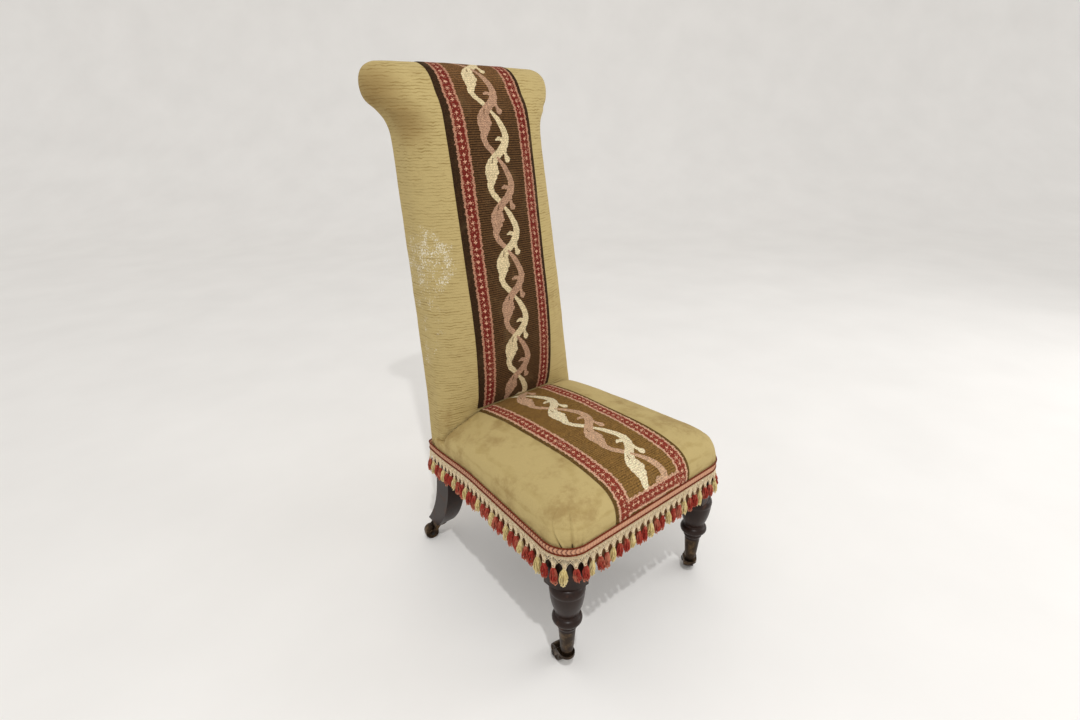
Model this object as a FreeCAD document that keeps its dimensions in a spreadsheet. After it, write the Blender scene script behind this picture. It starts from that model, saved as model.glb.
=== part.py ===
import FreeCAD, Part
import math
import os
import Sketcher

# Prie-dieu chair, millimetres. X runs to the right as seen from the front, Y backwards from the front leg axes,
# Z up from the floor. Every sub-part is moved by SHIFT along Y so that the origin is under the middle.
V = FreeCAD.Vector
doc = FreeCAD.newDocument("prie_dieu")
sheet = doc.addObject("Spreadsheet::Sheet", "dim")

SIZES = [
    # Seat frame
    ("frame_half", 211), ("frame_taper", 0.0645), ("front_reach", 28), ("frame_corner", 44),
    ("rail_low", 236), ("rail_height", 60), ("rail_thick", 28),
    ("tenon_long", 20), ("tenon_thick", 10), ("tenon_inset", 10), ("joint_play", 1.2),
    ("rear_rail_front", 400), ("rear_rail_thick", 26), ("brace_leg", 36), ("brace_drop", 8),
    # Front legs
    ("leg_inset", 33), ("block_in", 22), ("block_setback", 2), ("block_back", 24), ("block_low", 200),
    ("spigot_low", 52), ("spigot_radius", 9.5), ("spigot_top_radius", 13.2), ("cup_top", 96),
    ("neck_radius", 15.4), ("neck_high", 5), ("bead_high", 11), ("bead_round", 6.4), ("ring_step", 2),
    ("ring_radius", 21), ("ring_high", 17), ("ring_round", 9.3), ("vase_low_radius", 19.5), ("vase_low", 134),
    ("vase_round", 132), ("shoulder_radius", 30.3), ("shoulder_low", 184), ("shoulder_round", 13.5),
    ("vase_top_radius", 25),
    # Rear posts
    ("post_inset", 28), ("post_lean", 0.0306), ("post_wide", 43), ("post_wide_top", 38), ("foot_low", 42.8),
    ("foot_front", 441), ("foot_deep", 43), ("knee_front", 384), ("knee_high", 185), ("knee_deep", 47),
    ("sabre_front", 205), ("sabre_rear", 230), ("step_low", 300), ("step_high", 330), ("post_deep", 34),
    ("back_rake", 0.153), ("post_top", 905), ("post_tenon", 22),
    # Cross rails of the back
    ("low_rail_low", 334), ("low_rail_high", 372), ("scroll_y", 514), ("scroll_z", 958), ("crest_round", 17),
    ("ear_reach", 40.7), ("ear_low", 948), ("ear_flare", 60), ("ear_round", 14),
    # Seat upholstery
    ("web_wide", 50), ("web_thick", 1.5), ("cloth_thick", 1.2), ("cover_thick", 2), ("soft_gap", 0.3),
    ("spring_radius", 25), ("spring_waist", 19), ("spring_wire", 3.2), ("spring_turns", 3),
    ("spring_x", 62), ("spring_front", 105), ("spring_rear", 275),
    ("seat_rear", 371.4), ("seat_crown", 66), ("crown_y", 160), ("band_half", 98), ("cover_low", 278),
    ("seat_roll", 140), ("seat_front_roll", 160), ("corner_least", 20),
    # Back upholstery
    ("pad_low", 336), ("scroll_front", 68), ("scroll_top", 50), ("scroll_back", 48), ("ear_pad", 17),
    ("ear_shoulder_in", 48), ("pad_deep", 66), ("pad_drop", 8.5), ("pad_side", 7), ("panel_top", 930),
    ("pad_edge", 1), ("tuck_drop", 2), ("ear_side", 10), ("fan_side", 5), ("fan_drop", 3),
    # Trim
    ("gimp_high", 16), ("gimp_top", 292.5), ("gimp_thick", 2), ("cord_thick", 2.4), ("net_high", 20),
    ("net_thick", 1.4), ("tassel_long", 37), ("tassel_pitch", 16), ("tassel_head", 3), ("tassel_skirt", 6.2),
    ("tassel_off", 4.6), ("rear_corner", 9),
    # Castors
    ("wheel_radius", 16), ("wheel_wide", 20), ("tread_drop", 1), ("wheel_dish", 1.5), ("axle_radius", 2.5),
    ("run_gap", 0.05), ("side_gap", 0.6), ("cheek_thick", 3.6), ("trail", 25), ("horn_low", 33.5),
    ("horn_top", 39.5), ("eye_radius", 6.5), ("wheel_room", 1), ("pin_radius", 3.5),
    ("rivet_radius", 5.5), ("rivet_high", 2.2), ("plate_gap", 0.3), ("plate_radius", 17), ("stem_radius", 4),
    ("stem_long", 16), ("cup_wall", 2), ("cup_floor", 48), ("boss_radius", 9.5),
    ("heading_front_left", 79), ("heading_front_right", 38.5),
    ("heading_rear_left", 167), ("heading_rear_right", 60),
]
for row, (alias, value) in enumerate(SIZES, start=1):
    sheet.set(f"A{row}", alias)
    sheet.set(f"B{row}", str(value))
    sheet.setAlias(f"B{row}", alias)
doc.recompute()


class Dims:
    """Reads a driving dimension from the sheet by its alias."""

    def __getattr__(self, alias):
        return float(sheet.get(alias))


d = Dims()
TRIM_REACH = "(dim.cover_thick + dim.soft_gap + dim.tassel_off + dim.tassel_skirt)"
PAD_SKIN = "(dim.cover_thick + 2 * dim.soft_gap)"
SHIFT = f"(dim.front_reach + {TRIM_REACH} - dim.scroll_y - dim.scroll_back - {PAD_SKIN}) / 2"
finished = []


def finish_part(obj, label, y="0"):
    """Names a sub-part, moves it to the common frame and puts it on the export list."""
    obj.Label = label
    obj.setExpression("Placement.Base.y", f"({y}) + {SHIFT}")
    finished.append(obj)
    return obj


def new_body(name):
    return doc.addObject("PartDesign::Body", name)


def new_sketch(body, role, name, offset=None):
    """A sketch on one of the body's own origin planes, lifted along the plane's normal by an expression."""
    plane = next(f for f in body.Origin.OriginFeatures if f.Role == role)
    sketch = body.newObject("Sketcher::SketchObject", name)
    sketch.AttachmentSupport = [(plane, "")]
    sketch.MapMode = "FlatFace"
    if offset:
        sketch.setExpression("AttachmentOffset.Base.z", offset)
    return sketch


def draw_outline(sketch, corners):
    """A closed outline. A corner is (x, y), or (x, y, radius, turn) where an arc leads to the next corner:
    turn 1 bows to the right of the way from corner to corner, -1 to the left."""
    points = [V(sheet.evalExpression(c[0]), sheet.evalExpression(c[1]), 0) for c in corners]
    count = len(corners)
    arcs = {}
    for i, corner in enumerate(corners):
        start, end = points[i], points[(i + 1) % count]
        if len(corner) == 2:
            sketch.addGeometry(Part.LineSegment(start, end))
            continue
        radius = sheet.evalExpression(corner[2])
        chord = end - start
        half = chord.Length / 2
        bow = V(chord.y, -chord.x, 0).normalize() * corner[3]
        sagitta = radius - math.sqrt(radius * radius - half * half)
        arc = Part.Arc(start, (start + end) / 2 + bow * sagitta, end)
        sketch.addGeometry(arc)
        arcs[i] = corner[2]
    ends = []
    for i in range(count):
        at_start = (sketch.getPoint(i, 1) - points[i]).Length < 1e-6
        ends.append((1, 2) if at_start else (2, 1))
    for i in range(count):
        after = (i + 1) % count
        sketch.addConstraint(Sketcher.Constraint("Coincident", i, ends[i][1], after, ends[after][0]))
    for i, corner in enumerate(corners):
        for axis, place in (("DistanceX", corner[0]), ("DistanceY", corner[1])):
            value = points[i].x if axis == "DistanceX" else points[i].y
            number = sketch.addConstraint(Sketcher.Constraint(axis, -1, 1, i, ends[i][0], value))
            sketch.setExpression(f"Constraints[{number}]", place)
    for i, radius in arcs.items():
        number = sketch.addConstraint(Sketcher.Constraint("Radius", i, sheet.evalExpression(radius)))
        sketch.setExpression(f"Constraints[{number}]", radius)


def add_pad(body, sketch, length, midplane=False, reverse=False):
    pad = body.newObject("PartDesign::Pad", sketch.Name + "_pad")
    pad.Profile = sketch
    pad.setExpression("Length", length)
    pad.Midplane = midplane
    pad.Reversed = reverse
    sketch.Visibility = False
    return pad


def add_turning(body, sketch):
    """Turns an outline round the sketch's vertical axis."""
    turning = body.newObject("PartDesign::Revolution", sketch.Name + "_turning")
    turning.Profile = sketch
    turning.ReferenceAxis = (sketch, ["V_Axis"])
    turning.Angle = 360
    return turning


def prism_body(name, role, corners, length, offset=None, midplane=False, reverse=False):
    body = new_body(name)
    sketch = new_sketch(body, role, name + "_outline", offset)
    draw_outline(sketch, corners)
    add_pad(body, sketch, length, midplane, reverse)
    return body


def box(name, size, place):
    """A Part::Box whose sizes and corner are expressions."""
    made = doc.addObject("Part::Box", name)
    for prop, text in zip(("Length", "Width", "Height"), size):
        made.setExpression(prop, text)
    for axis, text in zip("xyz", place):
        made.setExpression(f"Placement.Base.{axis}", text)
    return made


def cylinder(name, radius, height, place):
    made = doc.addObject("Part::Cylinder", name)
    made.setExpression("Radius", radius)
    made.setExpression("Height", height)
    for axis, text in zip("xyz", place):
        made.setExpression(f"Placement.Base.{axis}", text)
    return made


def cut(name, base, *tools):
    """Takes one tool after another from the base."""
    result = base
    for number, tool in enumerate(tools):
        made = doc.addObject("Part::Cut", f"{name}_cut_{number}")
        made.Base = result
        made.Tool = tool
        result = made
    return result


def common(name, first, second):
    made = doc.addObject("Part::Common", name + "_common")
    made.Base = first
    made.Tool = second
    return made


def fuse(name, *shapes):
    made = doc.addObject("Part::MultiFuse", name + "_fuse")
    made.Shapes = list(shapes)
    return made


def solid_part(label, shape):
    """A sub-part whose shape is worked out in code from the sheet."""
    obj = doc.addObject("Part::Feature", label)
    obj.Shape = shape
    return finish_part(obj, label)


SIDES = (("left", -1), ("right", 1))


# Seat rails: four rails with tenons, the side rails closing in towards the back.
def rail_outer(y):
    """Outer face of the side rails at a place along Y."""
    return f"(dim.frame_half - dim.frame_taper * ({y}))"


TENON_LOW = "(dim.rail_low + dim.tenon_inset)"
TENON_HIGH = "(dim.rail_height - 2 * dim.tenon_inset)"
LEG_X = "(dim.frame_half - dim.leg_inset)"
BLOCK_X = f"({LEG_X} - dim.block_in)"
BLOCK_OUT = "(dim.leg_inset - dim.block_setback)"
POST_X = "(dim.frame_half - dim.post_inset)"
RAIL_TOP = "(dim.rail_low + dim.rail_height)"


def post_outer(z):
    """Outer face of the rear posts at a height: the post leans in."""
    return f"({POST_X} - dim.post_lean * ({z}))"


def front_tenon(name, grow):
    """Box of the front rail's tenon bar, or of its mortises when it is grown."""
    return box(
        name,
        (f"2 * ({BLOCK_X} + dim.tenon_long + {grow})", f"dim.tenon_thick + 2 * {grow}",
         f"{TENON_HIGH} + 2 * {grow}"),
        (f"-({BLOCK_X} + dim.tenon_long + {grow})",
         f"-dim.front_reach + (dim.rail_thick - dim.tenon_thick) / 2 - {grow}", f"{TENON_LOW} - {grow}"),
    )


def side_tenon(name, sign, rear, grow):
    """Box of a side rail's tenon at its front or rear end."""
    middle = f"({rail_outer('dim.block_back')} - dim.rail_thick / 2)"
    start = "dim.block_back - dim.tenon_long"
    if rear:
        middle = f"(({rail_outer('dim.knee_front')} - dim.rail_thick + {post_outer(RAIL_TOP)}) / 2)"
        start = "dim.knee_front - 1"
    return box(
        name,
        (f"dim.tenon_thick + 2 * {grow}", f"dim.tenon_long + 1 + {grow}", f"{TENON_HIGH} + 2 * {grow}"),
        (f"{sign} * {middle} - dim.tenon_thick / 2 - {grow}",
         start if rear else f"{start} - {grow}", f"{TENON_LOW} - {grow}"),
    )


front_bar = box(
    "front_rail_bar",
    (f"2 * {BLOCK_X}", "dim.rail_thick", "dim.rail_height"),
    (f"-{BLOCK_X}", "-dim.front_reach", "dim.rail_low"),
)
finish_part(fuse("front_seat_rail", front_bar, front_tenon("front_tenon_bar", "0")), "front_seat_rail")

for side, sign in SIDES:
    name = f"{side}_seat_rail"
    near, far = "dim.block_back", "dim.knee_front"
    bar = prism_body(
        name + "_bar", "XY_Plane",
        [(f"{sign} * {rail_outer(near)}", near), (f"{sign} * {rail_outer(far)}", far),
         (f"{sign} * ({rail_outer(far)} - dim.rail_thick)", far),
         (f"{sign} * ({rail_outer(near)} - dim.rail_thick)", near)],
        "dim.rail_height", offset="dim.rail_low",
    )
    tenons = [side_tenon(f"{side}_rail_tenon_{end}", sign, end == "rear", "0") for end in ("front", "rear")]
    finish_part(fuse(name, bar, *tenons), name)


def post_inner(z):
    """Inner face of the rear posts at a height: the post leans in and narrows."""
    narrowing = "(dim.post_wide - dim.post_wide_top) / dim.post_top"
    return f"({POST_X} - dim.post_wide - (dim.post_lean - {narrowing}) * ({z}))"


def cross_rail(name, low, high, front, deep):
    """A rail between the posts, with ends that follow their lean, and a tenon bar through it."""
    bar = prism_body(
        name + "_bar", "XZ_Plane",
        [(f"-{post_inner(low)}", low), (post_inner(low), low),
         (post_inner(high), high), (f"-{post_inner(high)}", high)],
        deep, offset=f"-({front})", reverse=True,
    )
    return fuse(name, bar, rail_tenon(name, low, high, front, deep, "0"))


def rail_tenon(name, low, high, front, deep, grow):
    return box(
        f"{name}_tenon_{len(doc.Objects)}",
        (f"2 * ({post_inner(high)} + dim.tenon_long + {grow})", f"dim.tenon_thick + 2 * {grow}",
         f"{high} - {low} - 2 * dim.tenon_inset + 2 * {grow}"),
        (f"-({post_inner(high)} + dim.tenon_long + {grow})",
         f"{front} + ({deep} - dim.tenon_thick) / 2 - {grow}", f"{low} + dim.tenon_inset - {grow}"),
    )


REAR_RAIL = ("dim.rail_low", RAIL_TOP, "dim.rear_rail_front", "dim.rear_rail_thick")
finish_part(cross_rail("rear_seat_rail", *REAR_RAIL), "rear_seat_rail")


# Front legs: a turned vase with a ring and a bead over a spigot, under a block with a round outer corner.
def leg_body(side, sign):
    name = f"front_{side}_leg"
    body = new_body(name + "_turned")
    bead_low = "dim.cup_top + dim.neck_high"
    bead_top = f"{bead_low} + dim.bead_high"
    ring_low = f"{bead_top} + dim.ring_step"
    turned = new_sketch(body, "XZ_Plane", name + "_profile")
    draw_outline(turned, [
        ("0", "dim.spigot_low"), ("dim.spigot_radius", "dim.spigot_low"),
        ("dim.spigot_top_radius", "dim.cup_top"), ("dim.neck_radius", "dim.cup_top"),
        ("dim.neck_radius", bead_low, "dim.bead_round", 1), ("dim.neck_radius", bead_top),
        ("dim.ring_radius", ring_low, "dim.ring_round", 1), ("dim.ring_radius", f"{ring_low} + dim.ring_high"),
        ("dim.vase_low_radius", "dim.vase_low", "dim.vase_round", 1),
        ("dim.shoulder_radius", "dim.shoulder_low", "dim.shoulder_round", 1),
        ("dim.vase_top_radius", "dim.block_low"), ("0", "dim.block_low"),
    ])
    add_turning(body, turned)
    inner, outer = f"{-sign} * dim.block_in", f"{sign} * {BLOCK_OUT}"
    block = new_sketch(body, "XY_Plane", name + "_block", "dim.block_low")
    draw_outline(block, [
        (inner, "-dim.front_reach"),
        (f"{sign} * ({BLOCK_OUT} - dim.frame_corner)", "-dim.front_reach", "dim.frame_corner", sign),
        (outer, "dim.frame_corner - dim.front_reach"), (outer, "dim.block_back"), (inner, "dim.block_back"),
    ])
    add_pad(body, block, f"{RAIL_TOP} - dim.block_low")
    body.setExpression("Placement.Base.x", f"{sign} * {LEG_X}")
    mortises = [front_tenon(name + "_front_mortise", "dim.joint_play"),
                side_tenon(name + "_side_mortise", sign, False, "dim.joint_play")]
    return finish_part(cut(name, body, *mortises), name)


for side, sign in SIDES:
    leg_body(side, sign)


# Rear posts: sabre leg and back upright in one, cut to shape in side view and leaning in seen from the front.
def post_front(z):
    """Front face of the upright above the seat, which leans back."""
    return f"(dim.knee_front + dim.knee_deep - dim.post_deep + dim.back_rake * ({z} - dim.step_high))"


def crest_tenon(name, sign, grow):
    """Box of the tenon on top of a post, which stands in the crest rail."""
    middle = f"({post_inner('dim.post_top')} + dim.post_wide_top / 2)"
    return box(
        name,
        (f"dim.post_wide_top / 2 + 2 * {grow}", f"dim.tenon_thick + 2 * {grow}",
         f"dim.post_tenon + 1 + {grow}"),
        (f"{sign} * {middle} - dim.post_wide_top / 4 - {grow}",
         f"{post_front('dim.post_top')} + (dim.post_deep - dim.tenon_thick) / 2 - {grow}",
         "dim.post_top - 1"),
    )


FOOT_X = f"({POST_X} - dim.post_wide / 2)"
FOOT_Y = "(dim.foot_front + dim.foot_deep / 2)"
LOW_RAIL_FRONT = f"({post_front('dim.low_rail_high')})"
LOW_RAIL_DEEP = "(dim.post_deep - dim.back_rake * (dim.low_rail_high - dim.low_rail_low))"
LOW_RAIL = ("dim.low_rail_low", "dim.low_rail_high", LOW_RAIL_FRONT, LOW_RAIL_DEEP)

for side, sign in SIDES:
    name = f"{side}_rear_post"
    knee_rear = "(dim.knee_front + dim.knee_deep)"
    side_view = prism_body(
        name + "_side", "YZ_Plane",
        [("dim.foot_front", "dim.foot_low"),
         ("dim.foot_front + dim.foot_deep", "dim.foot_low", "dim.sabre_rear", -1),
         (knee_rear, "dim.knee_high"), (knee_rear, "dim.step_high"),
         (f"{post_front('dim.post_top')} + dim.post_deep", "dim.post_top"),
         (post_front("dim.post_top"), "dim.post_top"),
         (post_front("dim.step_high"), "dim.step_high"), ("dim.knee_front", "dim.step_low"),
         ("dim.knee_front", "dim.knee_high", "dim.sabre_front", 1)],
        "2 * dim.frame_half", midplane=True,
    )
    front_view = prism_body(
        name + "_front", "XZ_Plane",
        [(f"{sign} * {POST_X}", "0"), (f"{sign} * {post_outer('dim.post_top')}", "dim.post_top"),
         (f"{sign} * {post_inner('dim.post_top')}", "dim.post_top"), (f"{sign} * {post_inner('0')}", "0")],
        "2 * dim.post_top", midplane=True,
    )
    blank = fuse(name, common(name, side_view, front_view), crest_tenon(name + "_tenon", sign, "0"))
    tools = [
        side_tenon(name + "_side_mortise", sign, True, "dim.joint_play"),
        rail_tenon(name + "_seat", *REAR_RAIL, "dim.joint_play"),
        rail_tenon(name + "_back", *LOW_RAIL, "dim.joint_play"),
        cylinder(name + "_stem_hole", "dim.stem_radius + dim.run_gap", "dim.stem_long + 1",
                 (f"{sign} * {FOOT_X}", FOOT_Y, "dim.foot_low - 1")),
    ]
    finish_part(cut(name, blank, *tools), name)

finish_part(cross_rail("lower_back_rail", *LOW_RAIL), "lower_back_rail")


# Crest rail: a board with a round top edge that follows the rake and carries the two ears.
crest_side = prism_body(
    "crest_side", "YZ_Plane",
    [(post_front("dim.post_top"), "dim.post_top"),
     (f"{post_front('dim.post_top')} + dim.post_deep", "dim.post_top"),
     ("dim.scroll_y + dim.crest_round", "dim.scroll_z", "dim.crest_round * 1.0001", 1),
     ("dim.scroll_y - dim.crest_round", "dim.scroll_z")],
    "3 * dim.frame_half", midplane=True,
)
crest_foot = post_outer("dim.post_top")
EAR_HALF = f"({crest_foot} + dim.ear_reach)"
crest_high = "(dim.scroll_z + 2 * dim.crest_round)"
crest_front = prism_body(
    "crest_front", "XZ_Plane",
    [(f"-{crest_foot}", "dim.post_top"), (crest_foot, "dim.post_top", "dim.ear_flare", -1),
     (EAR_HALF, "dim.ear_low"), (EAR_HALF, f"{crest_high} - dim.ear_round", "dim.ear_round * 1.0001", 1),
     (f"{EAR_HALF} - dim.ear_round", crest_high),
     (f"dim.ear_round - {EAR_HALF}", crest_high, "dim.ear_round * 1.0001", 1),
     (f"-{EAR_HALF}", f"{crest_high} - dim.ear_round"), (f"-{EAR_HALF}", "dim.ear_low", "dim.ear_flare", -1)],
    "4 * dim.scroll_y", midplane=True,
)
crest = common("crest_rail", crest_side, crest_front)
crest_mortises = [crest_tenon(f"crest_mortise_{side}", sign, "dim.joint_play") for side, sign in SIDES]
finish_part(cut("crest_rail", crest, *crest_mortises), "crest_rail")


# Corner braces: notched blocks that fill each inner corner of the seat frame beside the leg or post.
BRACE_LOW = "dim.rail_low + dim.brace_drop"
BRACE_HIGH = "dim.rail_height - 2 * dim.brace_drop"
for side, sign in SIDES:
    front_face = "dim.rail_thick - dim.front_reach"
    front_end = "(dim.block_back + dim.brace_leg)"
    rear_end = "(dim.knee_front - dim.brace_leg)"
    post_face = f"({post_inner(RAIL_TOP)} - dim.soft_gap)"

    def rail_face(y):
        return f"{sign} * ({rail_outer(y)} - dim.rail_thick)"

    corners = {
        "front": [(f"{sign} * ({BLOCK_X} - dim.brace_leg)", front_face), (f"{sign} * {BLOCK_X}", front_face),
                  (f"{sign} * {BLOCK_X}", "dim.block_back"), (rail_face("dim.block_back"), "dim.block_back"),
                  (rail_face(front_end), front_end)],
        "rear": [(f"{sign} * ({post_face} - dim.brace_leg)", "dim.rear_rail_front"),
                 (f"{sign} * {post_face}", "dim.rear_rail_front"),
                 (f"{sign} * {post_face}", "dim.knee_front"),
                 (rail_face("dim.knee_front"), "dim.knee_front"), (rail_face(rear_end), rear_end)],
    }
    for end, outline in corners.items():
        label = f"{end}_{side}_corner_brace"
        finish_part(prism_body(label + "_block", "XY_Plane", outline, BRACE_HIGH, offset=BRACE_LOW), label)


# Seat webbing: linen straps tacked under the rails, three from front to back over three from side to side.
def strap_lattice(label, crosswise, lengthwise):
    return finish_part(fuse(label, *crosswise, *lengthwise), label)


cross_straps = []
for number, share in enumerate((0.22, 0.5, 0.78)):
    middle = f"(dim.block_back + {share} * (dim.knee_front - dim.block_back))"
    cross_straps.append(box(
        f"seat_cross_strap_{number}",
        (f"2 * ({rail_outer(middle)} - dim.rail_thick / 3)", "dim.web_wide", "dim.web_thick"),
        (f"-({rail_outer(middle)} - dim.rail_thick / 3)", f"{middle} - dim.web_wide / 2",
         "dim.rail_low - dim.web_thick"),
    ))
long_straps = [
    box(f"seat_long_strap_{number}",
        ("dim.web_wide", "dim.rear_rail_front + (dim.rear_rail_thick + dim.front_reach) / 2", "dim.web_thick"),
        (f"{place} * dim.web_wide * 1.8 - dim.web_wide / 2", "-dim.front_reach / 2",
         "dim.rail_low - dim.web_thick"))
    for number, place in enumerate((-1, 0, 1))
]
strap_lattice("seat_webbing", cross_straps, long_straps)


# Base cloth: a thin dust cloth under the webbing, cut back round the legs and posts.
base_top = "dim.rail_low - dim.web_thick"
base_front = f"({BLOCK_X} - dim.soft_gap)"
base_rear = f"({post_inner('dim.rail_low')} - dim.soft_gap)"
base_mid = f"({rail_outer('dim.block_back')} - dim.rail_thick / 4)"
base_back = f"({rail_outer('dim.knee_front')} - dim.rail_thick / 4)"
base_y = ["-dim.front_reach * 0.7", "dim.block_back + dim.soft_gap", "dim.knee_front - dim.soft_gap",
          "dim.rear_rail_front + dim.rear_rail_thick * 0.7"]
finish_part(prism_body(
    "base_cloth_sheet", "XY_Plane",
    [(f"-{base_front}", base_y[0]), (base_front, base_y[0]), (base_front, base_y[1]), (base_mid, base_y[1]),
     (base_back, base_y[2]), (base_rear, base_y[2]), (base_rear, base_y[3]), (f"-{base_rear}", base_y[3]),
     (f"-{base_rear}", base_y[2]), (f"-{base_back}", base_y[2]), (f"-{base_mid}", base_y[1]),
     (f"-{base_front}", base_y[1])],
    "dim.cloth_thick", offset=f"{base_top} - dim.cloth_thick",
), "base_cloth")

# Spring canvas: hessian stretched over the springs and tacked on top of the rails.
canvas_half = f"({rail_outer('dim.block_back')} - dim.rail_thick / 4)"
canvas_rear = f"({rail_outer('dim.knee_front')} - dim.rail_thick / 4)"
finish_part(prism_body(
    "spring_canvas_sheet", "XY_Plane",
    [(f"-{canvas_half}", "dim.block_back"), (f"-{BLOCK_X}", "-dim.front_reach * 0.7"),
     (BLOCK_X, "-dim.front_reach * 0.7"),
     (canvas_half, "dim.block_back"), (canvas_rear, "dim.seat_rear"), (f"-{canvas_rear}", "dim.seat_rear")],
    "dim.cloth_thick", offset=RAIL_TOP,
), "spring_canvas")


# Seat springs: waisted coils of wire between webbing and canvas, each one unbroken tube of quarter-turn arcs.
def spring_point(turn, low, high):
    """Centre of the wire after a number of turns; the coil is widest at its ends."""
    share = turn / d.spring_turns
    radius = d.spring_waist + (d.spring_radius - d.spring_waist) * abs(2 * share - 1)
    angle = 2 * math.pi * turn
    return V(radius * math.cos(angle), radius * math.sin(angle), low + (high - low) * share)


def coil(low, high):
    steps = int(4 * d.spring_turns)
    path = []
    for step in range(steps):
        points = [spring_point((step + part) / 4, low, high) for part in (0, 0.5, 1)]
        path.append(Part.Arc(*points).toShape())
    start = spring_point(0, low, high)
    quarters = [k * math.pi / 2 for k in range(5)]
    corners = [start + V(math.cos(turn), 0, math.sin(turn)) * d.spring_wire / 2 for turn in quarters]
    shell = Part.BRepOffsetAPI.MakePipeShell(Part.Wire(path))
    shell.add(Part.makePolygon(corners))
    shell.build()
    shell.makeSolid()
    return shell.shape()


rail_top = d.rail_low + d.rail_height
coil_low = d.rail_low + d.spring_wire / 2 + d.soft_gap
coil_high = rail_top - d.spring_wire / 2 - d.soft_gap
one_coil = coil(coil_low, coil_high)
places = [V(x * d.spring_x, y, 0) for x in (-1, 1) for y in (d.spring_front, d.spring_rear)]
solid_part("seat_springs", Part.makeCompound([one_coil.translated(place) for place in places]))
print("spring: gap between turns", round((coil_high - coil_low) / d.spring_turns - d.spring_wire, 2))


# Seat pad: contours of a crowned cushion that is cut off flat where the back stands.
def seat_contour(z, inset, front_inset, rear, grow):
    """Closed contour at a height: straight sides that close in backwards, round front corners."""
    half = d.frame_half - inset + grow
    front = -d.front_reach + front_inset - grow
    radius = max(d.frame_corner + grow - 0.2 * inset, d.corner_least)
    side = math.sqrt(1 + d.frame_taper ** 2)

    def edge(y):
        return half - d.frame_taper * y

    turn = front + radius
    corner_x = edge(turn)
    mid = V(corner_x - radius * (1 - math.sqrt(0.5)) * side, front + radius * (1 - math.sqrt(0.5)), z)
    left = [V(-edge(rear), rear, z), V(-corner_x, turn, z),
            V(-mid.x, mid.y, z), V(-corner_x + radius, front, z)]
    right = [V(-p.x, p.y, z) for p in reversed(left)]
    return Part.Wire([
        Part.LineSegment(left[0], left[1]).toShape(), Part.Arc(left[1], left[2], left[3]).toShape(),
        Part.LineSegment(left[3], right[0]).toShape(), Part.Arc(right[0], right[1], right[2]).toShape(),
        Part.LineSegment(right[2], right[3]).toShape(), Part.LineSegment(right[3], left[0]).toShape(),
    ])


# Share of the crown's height, and there the shares of the side's and the front's roll and of the way back from
# the crown to the rear end: the sides stand nearly upright, then roll over into a low dome.
SEAT_STEPS = ((0, 0, 0, 1), (0.22, 0, 0.01, 1), (0.45, 0.036, 0.056, 1), (0.62, 0.107, 0.125, 1),
              (0.76, 0.243, 0.225, 1), (0.87, 0.443, 0.388, 0.72), (0.95, 0.7, 0.65, 0.4), (1, 1, 1, 0.12))


def seat_form(low, grow):
    """The cushion's solid, grown outwards and upwards by a skin."""
    base = rail_top
    wires = []
    if low < base:
        wires.append(seat_contour(low, 0, 0, d.seat_rear, grow))
    for share, side_roll, front_roll, reach in SEAT_STEPS:
        z = base + share * d.seat_crown + (grow if share else max(low - base, 0))
        rear = d.crown_y + reach * (d.seat_rear - d.crown_y)
        wires.append(seat_contour(z, side_roll * d.seat_roll, front_roll * d.seat_front_roll, rear, grow))
    return Part.makeLoft(wires, True, True)


stuffing_low = rail_top + d.cloth_thick + d.soft_gap
solid_part("seat_stuffing", seat_form(stuffing_low, 0))


# Covers are sewn from three strips: velvet, needlework band, velvet.
def strips(shape, reach):
    """Cuts a cover along the two edges of the band."""
    tall = 4 * reach
    cuts = ((-reach, -d.band_half), (-d.band_half, d.band_half), (d.band_half, reach))
    return [shape.common(Part.makeBox(high - low, tall, tall, V(low, -reach, -reach))) for low, high in cuts]


skin_in = d.soft_gap
skin_out = d.soft_gap + d.cover_thick
seat_skin = seat_form(d.cover_low, skin_out).cut(seat_form(d.cover_low - 1, skin_in))
for label, piece in zip(("left", "band", "right"), strips(seat_skin, 2 * d.frame_half)):
    solids = piece.Solids
    if label != "band":
        sign = -1 if label == "left" else 1
        wall = d.frame_half - d.frame_taper * d.seat_rear + skin_in
        wing_end = d.knee_front + d.knee_deep - d.rear_corner - d.cover_thick
        fall = d.frame_taper * (wing_end - d.seat_rear)
        plan = [V(sign * wall, d.seat_rear, d.cover_low),
                V(sign * (wall + d.cover_thick), d.seat_rear, d.cover_low),
                V(sign * (wall + d.cover_thick - fall), wing_end, d.cover_low),
                V(sign * (wall - fall), wing_end, d.cover_low)]
        wing = Part.Face(Part.makePolygon(plan + plan[:1])).extrude(V(0, 0, rail_top - d.cover_low))
        solids = [solids[0].fuse(wing).removeSplitter()]
    solid_part(f"seat_cover_{label}", solids[0])


# Back webbing and canvas: straps and hessian on the front of the uprights.
RAKE = "atan(dim.back_rake)"


def raked_y(along, forward):
    """Place in Y of a point a distance up the front of the uprights and some way forward of it."""
    return f"{post_front('dim.low_rail_low')} + {along} * sin({RAKE}) - ({forward}) * cos({RAKE})"


def raked_box(name, size, along, forward):
    """A box on the front of the uprights, centred across."""
    made = doc.addObject("Part::Box", name)
    for prop, text in zip(("Length", "Width", "Height"), size):
        made.setExpression(prop, text)
    made.setExpression("Placement.Base.x", f"-({size[0]}) / 2")
    made.setExpression("Placement.Base.y", raked_y(along, forward))
    high = f"dim.low_rail_low + {along} * cos({RAKE}) + ({forward}) * sin({RAKE})"
    made.setExpression("Placement.Base.z", high)
    made.Placement.Rotation = FreeCAD.Rotation(V(1, 0, 0), 1)
    made.setExpression("Placement.Rotation.Angle", f"-{RAKE}")
    return made


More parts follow.
